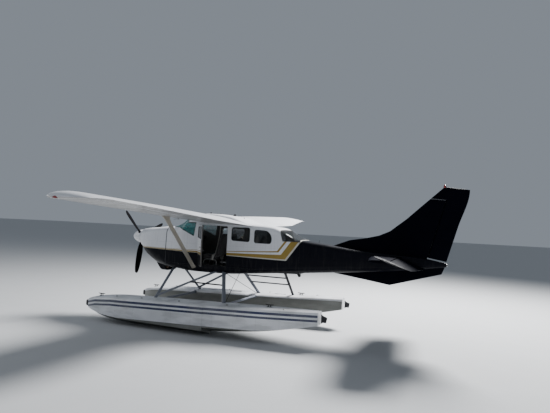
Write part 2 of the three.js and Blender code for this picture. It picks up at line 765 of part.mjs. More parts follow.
// The deck's round edge as shares of the half beam and of the side's depth, and the bottom's hollow
// as a share of its rise from the keel to the chine
const deckEdge = [[0.72, 0], [0.95, 0.09], [1, 0.24], [1, 1]];
const bottomHollow = 0.08;
const hullRing = ([x, half, deck, chine, keel]) => {
  const right = [
    ...deckEdge.map(([out, down]) => [half * out, deck - (deck - chine) * down]),
    [half / 2, (chine + keel) / 2 + (chine - keel) * bottomHollow],
  ];
  const left = right.map(([y, z]) => [-y, z]).reverse();
  return [...right, [0, keel], ...left].map(([y, z]) => point(x, y + floatSpacing / 2, z));
};
const bumperDiameter = 90;
const bumperAt = bumperNose + bumperDiameter / 2;
const bumperSpan = [-1800, -1630];
const bumper = rod(...bumperSpan.map((z) => point(bumperAt, floatSpacing / 2, z)), bumperDiameter, 12);

// The water rudder's post turns between two lugs on the transom
const rudderPost = 5745;
const postSpan = [-1560, -1375];
const lugHeight = 14;
const lugHalf = 30;
const lugFront = 5640;
const lugBehind = 22;
const lug = (low) => box(
  lugFront,
  rudderPost + lugBehind,
  floatSpacing / 2 - lugHalf,
  floatSpacing / 2 + lugHalf,
  low,
  low + lugHeight,
);
const lugs = [lug(postSpan[0] - seam - lugHeight), lug(postSpan[1] + seam)];
const hull = join(loft(forebodyRows.map(hullRing)), loft(afterbodyRows.map(hullRing)), bumper, ...lugs);
addPair('float', hull, 'white');

// Float gear: on each side a front strut, a rear strut and the diagonal brace between them, with
// spreader bars across, each stopped just short of what it meets
const hulls = [hull, mirrored(hull)];
const gearBlock = join(
  bodyClear,
  bodyClear.translate([0, 0, -seam]),
  ...hulls,
  ...hulls.map((each) => each.translate([0, 0, seam])),
);
const between = (top, foot, z) => top.clone().lerp(foot, (top.z - z) / (top.z - foot.z));
const apart = (solid) => join(solid, solid.translate([-seam, 0, 0]), solid.translate([seam, 0, 0]));
const frontStrutSize = [80, 38];
const frontTop = point(1469, 169, -690);
const frontFoot = point(1546, 1156, -1470);
const frontStrut = prism(oval(...frontStrutSize), frontFoot, frontTop).subtract(gearBlock);
addPair('front_strut', frontStrut, 'cream');
const rearStrutSize = [95, 44];
const rearTop = point(3060, 530, -690);
const rearFoot = point(3395, 1135, -1440);
const rearStrut = prism(oval(...rearStrutSize), rearFoot, rearTop).subtract(gearBlock);
addPair('rear_strut', rearStrut, 'cream');
const braceSize = [62, 28];
const braceTop = point(2950, 530, -690);
const braceFoot = between(frontTop, frontFoot, -1384);
const brace = prism(oval(...braceSize), braceFoot, braceTop)
  .subtract(apart(frontStrut))
  .subtract(gearBlock);
addPair('diagonal_brace', brace, 'cream');
const spreaderDiameter = 60;
const spreaderReach = 1100;
const spreaderPlaces = { spreader_front: [1546, -1500], spreader_rear: [3365, -1443] };
const spreaderBlock = join(...hulls, hull.translate([0, -seam, 0]), mirrored(hull).translate([0, seam, 0]));
Object.entries(spreaderPlaces).forEach(([name, [x, z]]) => {
  const ends = [-spreaderReach, spreaderReach].map((y) => point(x, y, z));
  addPiece(name, rod(...ends, spreaderDiameter, 12).subtract(spreaderBlock), 'steel');
});

// Boarding steps: to port a tread bar from the brace to the rear strut, to starboard two long
// bars from the rear strut to a post of its own
const treadDiameter = 36;
const treadLevel = -1020;
const portStep = rod(
  between(braceTop, braceFoot, treadLevel),
  between(rearTop, rearFoot, treadLevel),
  treadDiameter,
);
addPiece('boarding_step_left', mirrored(portStep.subtract(apart(brace)).subtract(apart(rearStrut))), 'steel');
const postSize = [75, 36];
const ladderLevels = [-880, -1060];
const postTop = point(4275, 470, -640);
const postFoot = point(4355, 1160, -1400);
const ladder = join(
  prism(oval(...postSize), postFoot, postTop),
  ...ladderLevels.map((z) => rod(
    between(rearTop, rearFoot, z),
    between(postTop, postFoot, z),
    treadDiameter,
  )),
).subtract(apart(rearStrut)).subtract(gearBlock);
addPiece('boarding_step_right', ladder, 'steel');

// Water rudders behind the transoms
const waterRudderHalf = 5;
const postWidth = 30;
const waterRudderOutline = [[rudderPost, -1545], [5845, -1545], [5865, -1430], [rudderPost, -1390]];
const waterRudder = join(
  rod(...postSpan.map((z) => point(rudderPost, floatSpacing / 2, z)), postWidth, 12),
  slab(waterRudderOutline, floatSpacing / 2 - waterRudderHalf, floatSpacing / 2 + waterRudderHalf),
);
addPair('water_rudder', waterRudder, 'steel');

export default aircraft;
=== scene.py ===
import math

import bmesh
import bpy
import numpy as np
from mathutils import Matrix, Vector
from mathutils.geometry import delaunay_2d_cdt


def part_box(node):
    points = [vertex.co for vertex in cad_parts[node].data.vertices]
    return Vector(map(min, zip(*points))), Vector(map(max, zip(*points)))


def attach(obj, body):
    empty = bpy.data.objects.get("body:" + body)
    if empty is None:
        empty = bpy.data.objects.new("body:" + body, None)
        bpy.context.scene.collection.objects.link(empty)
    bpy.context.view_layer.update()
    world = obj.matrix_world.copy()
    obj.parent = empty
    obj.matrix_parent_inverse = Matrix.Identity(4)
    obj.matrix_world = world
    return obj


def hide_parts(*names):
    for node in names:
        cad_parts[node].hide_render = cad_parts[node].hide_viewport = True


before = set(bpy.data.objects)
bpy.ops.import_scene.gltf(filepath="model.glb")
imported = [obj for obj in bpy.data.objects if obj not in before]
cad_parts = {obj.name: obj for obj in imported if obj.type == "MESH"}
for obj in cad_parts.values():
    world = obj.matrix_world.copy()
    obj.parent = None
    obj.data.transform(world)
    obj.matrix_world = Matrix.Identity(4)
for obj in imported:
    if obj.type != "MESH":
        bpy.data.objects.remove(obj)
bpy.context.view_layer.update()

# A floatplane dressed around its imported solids. Lengths are metres. The tables count aft from the
# spinner's tip along x, to starboard along y, and up from the thrust line along z.
spinnerLow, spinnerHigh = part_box("spinner")
datum = np.array([spinnerLow.x, 0.0, (spinnerLow.z + spinnerHigh.z) / 2])
quarter = math.pi / 2
aftward, starboard, upward = (1, 0, 0), (0, 1, 0), (0, 0, 1)
print("frame loaded:", len(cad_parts), "solids")


# Wiring of the finishes

def wire(tree, kind, inputs, output=0, **settings):
    # adds one node, sets or links its inputs, and gives back one of its outputs
    made = tree.nodes.new("ShaderNode" + kind)
    for key, value in settings.items():
        setattr(made, key, value)
    for key, value in inputs.items():
        if isinstance(value, bpy.types.NodeSocket):
            tree.links.new(value, made.inputs[key])
        else:
            made.inputs[key].default_value = value
    return made.outputs[output]


def calc(operation, *values):
    # one step of arithmetic, in the node tree that its linked values belong to
    tree = next(v.id_data for v in values if isinstance(v, bpy.types.NodeSocket))
    return wire(tree, "Math", dict(enumerate(values)), operation=operation)


def blendColor(share, below, above):
    return wire(share.id_data, "Mix", {0: share, 6: below, 7: above}, 2, data_type="RGBA")


def spread(value, fromLow, fromHigh, toLow=0.0, toHigh=1.0):
    # a value's range stretched evenly on to another, and held at its ends
    names = ("Value", "From Min", "From Max", "To Min", "To Max")
    return wire(value.id_data, "MapRange", dict(zip(names, (value, fromLow, fromHigh, toLow, toHigh))))


def noise(place, scale, detail=3.0, stretch=(1, 1, 1)):
    moved = wire(place.id_data, "Mapping", {"Vector": place, "Scale": stretch})
    return wire(place.id_data, "TexNoise", {"Vector": moved, "Scale": scale, "Detail": detail})


def splitAxes(place):
    return wire(place.id_data, "SeparateXYZ", {0: place}).node.outputs


def feed(shader, socket, value):
    shader.id_data.links.new(value, shader.inputs[socket])


def startFinish(name, sockets):
    # a Principled material with its constant sockets set, and the place of each point on the piece
    material = bpy.data.materials.new(name)
    material.use_nodes = True
    shader = material.node_tree.nodes["Principled BSDF"]
    for socket, value in sockets.items():
        shader.inputs[socket].default_value = value
    return material, shader, wire(material.node_tree, "TexCoord", {}, "Object")


# Each row set is axis across the rows, row pitch, axis along them, rivet pitch. The shift is a
# count of pitches that keeps the remainder's number above zero
rivets = {
    "body": ((0, 0.46, 2, 0.032), (2, 0.31, 0, 0.032)),
    "wing": ((1, 0.385, 0, 0.030), (0, 0.41, 1, 0.030)),
    "float": ((0, 0.52, 2, 0.030), (0, 0.52, 1, 0.030)),
    "fromLap": 0.012, "radius": 0.0035, "lap": 0.0022, "lapShade": 0.62, "strength": 0.22, "height": 0.0015,
    "shift": 500,
}


def rivetRows(place, rows):
    # a rivet's dome is one less its distance from the nearest crossing over its radius, held above
    # nothing, and a lap's edge is the same with the distance from the row's line alone
    axes = splitAxes(place)
    domes, laps = [], []

    def offset(axis, pitch):
        turned = calc("MODULO", calc("ADD", axes[axis], rivets["shift"] * pitch), pitch)
        return calc("ABSOLUTE", calc("SUBTRACT", turned, pitch / 2))

    def peak(distance, radius):
        return calc("MAXIMUM", calc("SUBTRACT", 1.0, calc("DIVIDE", distance, radius)), 0.0)

    for across, rowPitch, lengthwise, pitch in rows:
        fromRow = offset(across, rowPitch)
        aside = calc("POWER", calc("SUBTRACT", fromRow, rivets["fromLap"]), 2.0)
        reach = calc("SQRT", calc("ADD", aside, calc("POWER", offset(lengthwise, pitch), 2.0)))
        domes.append(peak(reach, rivets["radius"]))
        laps.append(peak(fromRow, rivets["lap"]))
    return [calc("MAXIMUM", *pair) for pair in (domes, laps)]


# How fine each noise is, how deep its relief, and how far it moves the colour or the roughness
wear = {
    "patches": 1.7, "lighter": 0.4, "fine": 23, "smoother": 0.85, "rougher": 1.2,
    "waves": 3.2, "waveDepth": 0.02, "grit": 260, "gritDepth": 0.0008, "noiseSpan": (0.3, 0.7),
}


def finishOff(shader, place, color, roughness, patchy, waves, grit, scale=1.0, rows=()):
    # colour drifts by a slow noise, roughness by a finer one, and the relief is rivets, slow waves
    # and grit, one after the other
    tree = place.id_data
    slow, fine = noise(place, wear["patches"] * scale, 4), noise(place, wear["fine"] * scale, 5)
    tone = spread(slow, *wear["noiseSpan"], 1 - patchy, 1 + patchy * wear["lighter"])
    rough = spread(fine, *wear["noiseSpan"], roughness * wear["smoother"], roughness * wear["rougher"])
    heights = []
    if rows:
        domes, laps = rivetRows(place, rows)
        tone = calc("MULTIPLY", tone, spread(laps, 0.0, 1.0, 1.0, rivets["lapShade"]))
        heights.append((calc("SUBTRACT", domes, laps), rivets["strength"], rivets["height"]))
    feed(shader, "Base Color", wire(tree, "VectorMath", {0: color, "Scale": tone}, operation="SCALE"))
    feed(shader, "Roughness", rough)
    if waves:
        heights.append((noise(place, wear["waves"] * scale, 2), waves, wear["waveDepth"]))
    if grit:
        heights.append((noise(place, wear["grit"] * scale, 2), grit, wear["gritDepth"]))
    relief = {}
    for height, strength, distance in heights:
        bump = wire(tree, "Bump", {"Strength": strength, "Distance": distance, "Height": height, **relief})
        relief = {"Normal": bump}
    if relief:
        feed(shader, "Normal", relief["Normal"])


def plainFinish(name, color, roughness, patchy, waves, grit, scale, sockets, rows=()):
    material, shader, place = startFinish(name, sockets)
    finishOff(shader, place, color[:3], roughness, patchy, waves, grit, scale, rows)
    return material


# Colours, linear
white, cream, gold = (0.80, 0.81, 0.84, 1), (0.62, 0.60, 0.54, 1), (0.34, 0.235, 0.060, 1)
# the float struts' and spreaders' grey is their pale paint darkened to a blue-grey, as painted shade
navy, strutShadeGrey = (0.0022, 0.0026, 0.0065, 1), (0.17, 0.185, 0.22)

# Columns: colour, roughness, patchiness, waves, grit, how fine the patches are, shader sockets
plainLooks = {
    "whitePaint": (white, 0.32, 0.06, 0.2, 0.1, 1, {"Coat Weight": 0.3, "Coat Roughness": 0.12}),
    "strutShadePaint": (strutShadeGrey, 0.34, 0.12, 0.05, 0.1, 1, {"Coat Weight": 0.3}),
    "wingStrutPaint": ((0.29, 0.262, 0.215), 0.34, 0.12, 0.05, 0.1, 1, {"Coat Weight": 0.3}),
    "bareMetal": ((0.34, 0.34, 0.33), 0.42, 0.2, 0.1, 0.25, 3, {"Metallic": 0.85}),
    "darkMetal": ((0.045, 0.045, 0.05), 0.5, 0.25, 0.1, 0.3, 4, {"Metallic": 0.6}),
    "exhaustMetal": ((0.16, 0.10, 0.07), 0.55, 0.4, 0.1, 0.4, 6, {"Metallic": 0.8}),
    "bladePaint": ((0.006, 0.006, 0.007), 0.5, 0.15, 0, 0.2, 6, {"Specular IOR Level": 0.012}),
    "rubber": ((0.014, 0.014, 0.015), 0.75, 0.2, 0, 0.5, 8, {}),
    # the cabin trim is a dark grey of its own, made darker still as painted shade of the cabin's inside and the door's
    # inner face
    "shadedCabinTrim": ((0.11, 0.105, 0.10), 0.8, 0.1, 0, 0.5, 4, {}),
    "headliner": ((0.30, 0.29, 0.27), 0.9, 0.08, 0, 0.6, 5, {}),
    "carpet": ((0.030, 0.030, 0.034), 0.95, 0.25, 0, 1.0, 4, {"Sheen Weight": 0.3}),
    "panelBlack": ((0.016, 0.016, 0.018), 0.6, 0.15, 0, 0.5, 6, {}),
    "redLens": ((0.24, 0.008, 0.008), 0.15, 0.1, 0, 0.1, 9, {"Coat Weight": 1.0}),
    "greenLens": ((0.02, 0.35, 0.10), 0.15, 0.1, 0, 0.1, 9, {"Coat Weight": 1.0}),
    # the tail lamp's clear lens is painted dark grey, as painted shade
    "shadedClearLens": ((0.10, 0.10, 0.11), 0.12, 0.05, 0, 0.1, 9, {"Coat Weight": 1.0}),
    "tealGlass": ((0.045, 0.25, 0.25), 0.05, 0.05, 0.05, 0, 2,
                  {"Alpha": 0.48, "Coat Weight": 0.6, "Coat Roughness": 0.02}),
    "smokedGlass": ((0.010, 0.012, 0.013), 0.06, 0.05, 0.05, 0, 2, {"Alpha": 0.50, "Specular IOR Level": 0.35}),
    "rearGlass": ((0.06, 0.065, 0.066), 0.06, 0.05, 0.05, 0, 2, {"Alpha": 0.26, "Specular IOR Level": 0.5}),
    "doorGlass": ((0.010, 0.016, 0.016), 0.08, 0.05, 0.05, 0, 2, {"Alpha": 0.90, "Specular IOR Level": 0.06}),
    "paleGlass": ((0.25, 0.50, 0.50), 0.05, 0.05, 0.05, 0, 2, {"Alpha": 0.13, "Specular IOR Level": 0.3}),
    "beltWebbing": ((0.42, 0.41, 0.38), 0.85, 0.12, 0, 0.9, 14, {"Sheen Weight": 0.2}),
    "floorTone": ((0.50, 0.51, 0.52), 0.9, 0.02, 0, 0, 1, {}),
}
look = {name: plainFinish(name, *row) for name, row in plainLooks.items()}
navyPaint = plainFinish("navyPaint", navy, 0.45, 0.15, 0.1, 0.1, 1, {"Specular IOR Level": 0.012}, rivets["wing"])
rubber, bareMetal, darkMetal, panelBlack = (look[n] for n in ("rubber", "bareMetal", "darkMetal", "panelBlack"))

# The paint scheme on the side of the fuselage: below the band the navy edge falls aft, and behind it
# the navy edge slants. The band lies along both: its width along the lower edge grows with the
# square of the distance aft, and along the slanted edge it is even
scheme = {
    "navyLevel": -0.262, "navyFall": 0.0195,
    "bandNose": 0.035, "bandGrowth": 0.0115, "bandStart": 0.5,
    "tailEdge": 4.881, "tailSlope": 0.695, "tailWidth": 0.374,
    "pinstripe": 0.13, "goldTop": 0.60, "lineBottom": 0.85,  # shares of the band's width
    "grime": (0.10, 0.095, 0.085, 1),
}
door = {"hinge": (2.337, 0.61566), "open": math.radians(55), "hole": (2.340, 3.150, -0.592, 0.392), "gap": 0.006}


def liveryFinish(name, swing=0.0, hinge=(0.0, 0.0)):
    # Object coordinates, turned back to the shut position for a door that stands open
    material, shader, place = startFinish(
        name, {"Coat Weight": 0.02, "Coat Roughness": 0.12, "Specular IOR Level": 0.10})
    turn = np.array([[math.cos(swing), -math.sin(swing)], [math.sin(swing), math.cos(swing)]])
    shift = np.array(hinge) - turn @ (np.array(hinge) + datum[:2])
    inputs = {"Vector": place, "Location": (*shift, -datum[2]), "Rotation": (0, 0, swing)}
    x, _, z = splitAxes(wire(material.node_tree, "Mapping", inputs))
    over = calc("SUBTRACT", calc("MULTIPLY_ADD", x, scheme["navyFall"], z), scheme["navyLevel"])
    aft = calc("MAXIMUM", calc("SUBTRACT", x, scheme["bandStart"]), 0.0)
    width = calc("MULTIPLY_ADD", calc("POWER", aft, 2.0), scheme["bandGrowth"], scheme["bandNose"])
    tailward = calc("SUBTRACT", scheme["tailEdge"], calc("MULTIPLY_ADD", z, -scheme["tailSlope"], x))
    share = calc("MINIMUM", calc("DIVIDE", over, width), calc("DIVIDE", tailward, scheme["tailWidth"]))
    color = white
    for level, tone in ((1.0, gold), (scheme["lineBottom"], white), (scheme["goldTop"], gold),
                        (scheme["pinstripe"], cream), (0.0, navy)):
        color = blendColor(calc("LESS_THAN", share, level), color, tone)
    # faint grime runs down from the seams and gathers towards the belly
    streaks = spread(noise(place, 5.0, 5, (4, 4, 0.5)), 0.50, 0.75)
    low = spread(z, -0.80, -0.30, 0.35, 0.08)
    color = blendColor(calc("MULTIPLY", streaks, low), color, scheme["grime"])
    finishOff(shader, place, color, 0.32, 0.07, 0.16, 0.1, 1, rivets["body"])
    return material


def wingFinish():
    # white above, and a grey-brown painted shade below: the share follows the downward part of the normal
    material, shader, place = startFinish("wingPaint", {"Coat Weight": 0.25, "Coat Roughness": 0.12})
    normal = splitAxes(place.node.outputs["Normal"])[2]
    # the underside's painted shade, made patchy by a slow noise
    underShade = spread(noise(place, 2.6, 5, (0.5, 2, 1)), 0.35, 0.70, 0.62, 0.92)
    share = calc("MULTIPLY", spread(normal, -0.35, -0.80), underShade)
    color = blendColor(share, white, (0.12, 0.11, 0.096, 1))
    finishOff(shader, place, color, 0.34, 0.07, 0.25, 0.1, 1, rivets["wing"])
    return material


weave = {
    "threads": 2400.0, "relief": 0.0006, "dark": (0.018, 0.017, 0.019, 1),
    "light": (0.050, 0.047, 0.048, 1), "worn": (0.085, 0.080, 0.076, 1),
}


def seatCloth():
    # a basket weave: over one thread's width the warp shows and over the next the weft, each
    # rounded like a half wave, with a melange of two greys and worn patches
    material, shader, place = startFinish(
        "seatCloth", {"Sheen Weight": 0.35, "Sheen Roughness": 0.5, "Specular IOR Level": 0.25})
    tree = place.id_data
    x, y, z = splitAxes(wire(tree, "VectorMath", {0: place, "Scale": weave["threads"]}, operation="SCALE"))
    across = calc("SINE", calc("ADD", x, z))
    along = calc("SINE", calc("ADD", y, calc("MULTIPLY", z, 0.3)))
    threads = calc("MULTIPLY", across, along)
    melange = noise(place, 420, 3)
    color = blendColor(spread(melange, 0.35, 0.65), weave["dark"], weave["light"])
    color = blendColor(spread(noise(place, 9, 4), 0.45, 0.75, 0.0, 0.35), color, weave["worn"])
    feed(shader, "Base Color", color)
    feed(shader, "Roughness", spread(melange, 0.3, 0.7, 0.80, 0.95))
    feed(shader, "Normal", wire(tree, "Bump", {"Strength": 0.35, "Distance": weave["relief"], "Height": threads}))
    return material


livery = liveryFinish("fuselagePaint")
openDoorLivery = liveryFinish("openDoorPaint", door["open"], (door["hinge"][0], -door["hinge"][1]))
wingPaint, cloth = wingFinish(), seatCloth()
print("finishes ready")


# Shapes: each is (points, faces, tags), a tag being the face's material slot

def joined(*shapes):
    points, faces, tags, count = [], [], [], 0
    for somePoints, someFaces, someTags in shapes:
        points.append(somePoints)
        faces += [[i + count for i in face] for face in someFaces]
        tags += someTags
        count += len(somePoints)
    return np.vstack(points), faces, tags


def mirrored(shape):
    return shape[0] * (1, -1, 1), *shape[1:]


def moved(shape, offset):
    return shape[0] + np.asarray(offset, float), *shape[1:]


def turnedAbout(shape, axis, angle, pivot=(0, 0, 0)):
    # every point turns about a line through the pivot, along x, y or z
    turn = np.array(Matrix.Rotation(angle, 3, axis))
    return (shape[0] - pivot) @ turn.T + pivot, *shape[1:]


def grid(*axes):
    # the points of a surface from its x, y and z, each a whole array or a row or a column of it
    return np.stack(np.broadcast_arrays(*axes), -1)


def gridShape(points, caps=True):
    # neighbouring rows of points are joined by quads, each row closed on itself, and the end rows
    # are closed by one face each
    points = np.asarray(points, float)
    rows, columns = points.shape[:2]
    index = np.arange(rows * columns).reshape(rows, columns)
    across = np.hstack([index, index[:, :1]])
    corners = (across[:-1, :-1], across[:-1, 1:], across[1:, 1:], across[1:, :-1])
    faces = np.stack(corners, -1).reshape(-1, 4).tolist()
    if caps:
        faces += [index[0].tolist(), index[-1].tolist()]
    return points.reshape(-1, 3), faces, [0] * len(faces)


def unit(vectors):
    return vectors / np.maximum(np.linalg.norm(vectors, axis=-1, keepdims=True), 1e-12)


def between(start, end, s):
    # points on a straight line, each at a share of the way
    start, end = np.asarray(start, float), np.asarray(end, float)
    return start + (end - start) * np.reshape(s, (-1, 1))


def carried(path, profile, side, closed=False, scale=1.0):
    # a flat profile rides along the path: its first number goes along the side direction, made
    # square to the path, and its second along the cross product of the path's direction and it
    path, profile = np.asarray(path, float), np.asarray(profile, float)
    ahead = unit(np.roll(path, -1, 0) - np.roll(path, 1, 0) if closed else np.gradient(path, axis=0))
    side = np.broadcast_to(np.asarray(side, float), path.shape)
    side = unit(side - (side * ahead).sum(1, keepdims=True) * ahead)
    reach = profile[None] * np.broadcast_to(scale, len(path))[:, None, None]
    points = path[:, None] + reach[..., :1] * side[:, None] + reach[..., 1:] * np.cross(ahead, side)[:, None]
    if closed:
        points = np.concatenate([points, points[:1]])
    return gridShape(points, not closed)


def circle(diameter, steps=16, other=None):
    # a circle, or an ellipse with another diameter for its second number
    angle = np.linspace(0, 2 * math.pi, steps, endpoint=False)
    return np.column_stack([np.cos(angle) * diameter, np.sin(angle) * (other or diameter)]) / 2


def rod(start, end, diameter, steps=12, side=(1, 0, 0.01)):
    return carried([start, end], circle(diameter, steps), side)


def teardrop(chord, thickness, steps=15):
    # a streamlined strut section: the four-digit thickness formula, nose first, along the chord
    s = np.linspace(-1, 1, 2 * steps + 1)[:-1]
    f = s * s
    half = (1.4845 * np.sqrt(f) - 0.63 * f - 1.758 * f**2 + 1.4215 * f**3 - 0.5075 * f**4) * thickness
    return np.column_stack([(f - 0.4) * chord, np.sign(s) * half])


def lathe(profile, steps=32, axis=aftward, centre=(0, 0, 0)):
    # [distance along, radius] turned round an axis, the first point towards a direction that is
    # square to the axis and to one that lies along none of the three
    profile = np.asarray(profile, float)
    along = unit(np.asarray(axis, float))
    side = unit(np.cross(along, (0.31, 0.52, 0.79)))
    angle = np.linspace(0, 2 * math.pi, steps, endpoint=False)
    ring = np.cos(angle)[:, None] * side + np.sin(angle)[:, None] * np.cross(along, side)
    return gridShape(np.asarray(centre, float) + profile[:, None, :1] * along + profile[:, None, 1:] * ring[None])


def roundedBox(low, high, radius, steps=3):
    # a rounded rectangle swept between two ends that pull in by the same radius
    low, high = np.asarray(low, float), np.asarray(high, float)
    angle = np.linspace(0, 2 * math.pi, 8 * steps, endpoint=False) + math.pi / (8 * steps)
    half = (high - low) / 2
    around = np.column_stack([np.cos(angle), np.sin(angle)])
    flat = np.sign(around) * np.maximum(half[:2] - radius, 0)
    ends = [(np.sin(a), -half[2] + radius * (1 - np.cos(a))) for a in np.linspace(0, quarter, steps + 1)]
    ends += [(size, -z) for size, z in ends[::-1]]
    rows = [np.column_stack([flat + around * radius * size, np.full(len(flat), z)]) for size, z in ends]
    return gridShape(np.array(rows) + (low + high) / 2)


pieces = []
mergeWithin = 1e-5


def addPiece(name, shape, finishes, body="airframe", stands="", slot="", crease=32):
    # one mesh object at the origin, closed, with its faces outward and its sharp edges marked
    points, faces, tags = shape
    mesh = bpy.data.meshes.new(name)
    mesh.from_pydata((points + datum).tolist(), [], faces)
    mesh.polygons.foreach_set("material_index", tags)
    for finish in finishes if isinstance(finishes, list) else [finishes]:
        mesh.materials.append(finish)
    work = bmesh.new()
    work.from_mesh(mesh)
    bmesh.ops.remove_doubles(work, verts=work.verts, dist=mergeWithin)
    bmesh.ops.dissolve_degenerate(work, edges=work.edges, dist=mergeWithin)
    bmesh.ops.recalc_face_normals(work, faces=work.faces)
    work.to_mesh(mesh)
    work.free()
    mesh.shade_smooth()
    mesh.set_sharp_from_angle(angle=math.radians(crease))
    piece = bpy.data.objects.new(name, mesh)
    bpy.context.scene.collection.objects.link(piece)
    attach(piece, body)
    if stands:
        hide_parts(stands)
    pieces.append(piece)
    return piece


def addPair(name, shape, finishes, body="airframe", stands="", slot="", **more):
    # the starboard piece and its mirror image to port
    for side, form in (("Right", shape), ("Left", mirrored(shape))):
        ending = "_" + side.lower()
        rides = body if body == "airframe" else body + ending
        addPiece(name + side, form, finishes, rides, stands and stands + ending, slot, **more)


def smoothThrough(table, at):
    # a monotone cubic through a table's rows: the slope at a row is the harmonic mean of the slopes
    # on its two sides, or level where they differ in sign
    table, at = np.asarray(table, float), np.asarray(at, float)
    x, y = table[:, 0], table[:, 1:]
    slope = np.diff(y, axis=0) / np.diff(x)[:, None]
    before, after = slope[:-1], slope[1:]
    total = np.where(before * after > 0, before + after, 1)
    middle = np.where(before * after > 0, 2 * before * after / total, 0)
    tangent = np.vstack([slope[:1], middle, slope[-1:]])
    i = np.clip(np.searchsorted(x, at, side="right") - 1, 0, len(x) - 2)
    h = np.diff(x)[i][:, None]
    u = (at - x[i])[:, None] / h
    start = (1 + 2 * u) * (1 - u) ** 2 * y[i] + u * (1 - u) ** 2 * h * tangent[i]
    return start + u * u * (3 - 2 * u) * y[i + 1] + u * u * (u - 1) * h * tangent[i + 1]


def smoothPath(points, steps):
    # the same cubic through points that are counted off evenly
    count = len(points)
    return smoothThrough(np.column_stack([np.arange(count), points]), np.linspace(0, count - 1, steps))


# The fuselage as a function of station and girth. The girth runs from 0 on the roof's middle line
# to 1 on the belly's, starboard above zero and port below it, in five equal parts: half the roof,
# the upper corner's arc, the side, the lower corner's arc and half the belly.
# Columns: station, half width, bottom, top, lower corner radius, upper corner radius
fuselageRows = [
    [0.35, 0.215, -0.195, 0.177, 0.190, 0.170],
    [0.45, 0.325, -0.280, 0.203, 0.245, 0.185],
    [0.60, 0.420, -0.420, 0.225, 0.300, 0.195],
    [0.76, 0.472, -0.540, 0.246, 0.320, 0.190],
    [1.10, 0.525, -0.688, 0.280, 0.290, 0.190],
    [1.39, 0.550, -0.724, 0.311, 0.190, 0.190],
    [1.53, 0.560, -0.730, 0.316, 0.160, 0.200],
    [1.75, 0.580, -0.745, 0.440, 0.150, 0.350],
    [1.96, 0.596, -0.765, 0.540, 0.140, 0.200],
    [2.15, 0.602, -0.775, 0.605, 0.130, 0.110],
    [2.60, 0.606, -0.780, 0.680, 0.120, 0.090],
    [3.15, 0.606, -0.770, 0.635, 0.120, 0.090],
    [3.75, 0.590, -0.722, 0.455, 0.120, 0.090],
    [4.25, 0.530, -0.678, 0.425, 0.130, 0.100],
    [4.93, 0.415, -0.628, 0.148, 0.150, 0.110],
    [5.60, 0.325, -0.572, 0.066, 0.150, 0.120],
    [6.60, 0.228, -0.480, -0.032, 0.120, 0.100],
    [7.50, 0.125, -0.375, -0.074, 0.080, 0.070],
    [8.18, 0.034, -0.262, -0.172, 0.025, 0.025],
]
bodyCrown = 0.008  # how far the flats of roof, sides and belly bulge
girthLength = 2.2  # metres along the skin for a girth of 1, about
fullTurn = (0, 2 * girthLength)


def bodyPoint(flat, inset=0.0):
    # each of the five parts adds its own run in y and z, a quarter circle for a corner, and the
    # flats bulge by powers of the distance from their ends
    station, girth = flat[:, 0], flat[:, 1] / girthLength
    rows = smoothThrough(fuselageRows, station) + inset * np.array([-1, 1, -1, -1, -1])
    half, low, high, lowRadius, highRadius = rows.T
    lowRadius, highRadius = np.maximum(lowRadius, 0.008), np.maximum(highRadius, 0.008)
    side = (girth + 1) % 2 - 1
    u = np.clip(np.abs(side)[:, None] * 5 - np.arange(5), 0, 1).T
    arcs = u * quarter
    crown = bodyCrown * half / 0.6
    y = (half - highRadius) * u[0] + highRadius * np.sin(arcs[1]) + crown * (4 * u[2] * (1 - u[2])) ** 2
    y += -lowRadius * (1 - np.cos(arcs[3])) - (half - lowRadius) * u[4]
    z = high - highRadius * (1 - np.cos(arcs[1])) - (high - highRadius - low - lowRadius) * u[2]
    z += -lowRadius * np.sin(arcs[3]) + crown * ((1 - u[0] ** 2) ** 2 - (u[4] * (2 - u[4])) ** 2)
    return np.column_stack([station, np.sign(side) * y, z])


def onSkin(line):
    # [aft, up] points as [aft, girth] to starboard, by undoing the arcs and the side
    station, height = np.asarray(line, float).T
    half, low, high, lowRadius, highRadius = smoothThrough(fuselageRows, station).T
    upper = np.arccos(np.clip(1 - (high - height) / highRadius, 0, 1)) / quarter
    side = np.clip((high - highRadius - height) / (high - highRadius - low - lowRadius), 0, 1)
    lower = np.arcsin(np.clip((low + lowRadius - height) / lowRadius, 0, 1)) / quarter
    girth = np.where(height >= high, 0, 0.2 + 0.2 * (upper + side + lower)) * girthLength
    return np.column_stack([station, girth])


def along(corners, step=0.03):
    # the corners' line with a point every step or closer
    corners = np.asarray(corners, float)
    counts = [max(1, math.ceil(np.hypot(*(b - a)) / step)) for a, b in zip(corners[:-1], corners[1:])]
    runs = [np.linspace(a, b, n, endpoint=False) for a, b, n in zip(corners[:-1], corners[1:], counts)]
    return np.vstack([*runs, corners[-1:]])


def rounded(corners, radius, steps=6):
    # each corner becomes a quadratic curve from one edge to the next
    corners = np.asarray(corners, float)
    back = unit(np.roll(corners, 1, 0) - corners) * radius
    ahead = unit(np.roll(corners, -1, 0) - corners) * radius
    s = np.linspace(0, 1, steps)[None, :, None]
    curve = (1 - s) ** 2 * back[:, None] + s**2 * ahead[:, None]
    return (corners[:, None] + curve).reshape(-1, 2)


def closedLoop(points, step=0.03):
    return along(np.vstack([points, points[:1]]), step)[:-1]


def rectangle(low, high):
    return [[low[0], low[1]], [high[0], low[1]], [high[0], high[1]], [low[0], high[1]]]


def roundLoop(front, back, steps):
    # once round the body between two stations
    return closedLoop(rectangle((front, 0), (back, fullTurn[1])), fullTurn[1] / steps)


def sideLoop(corners, radius, step=0.03):
    # an outline of [aft, up] points laid on the starboard side
    return onSkin(closedLoop(rounded(corners, radius), step))


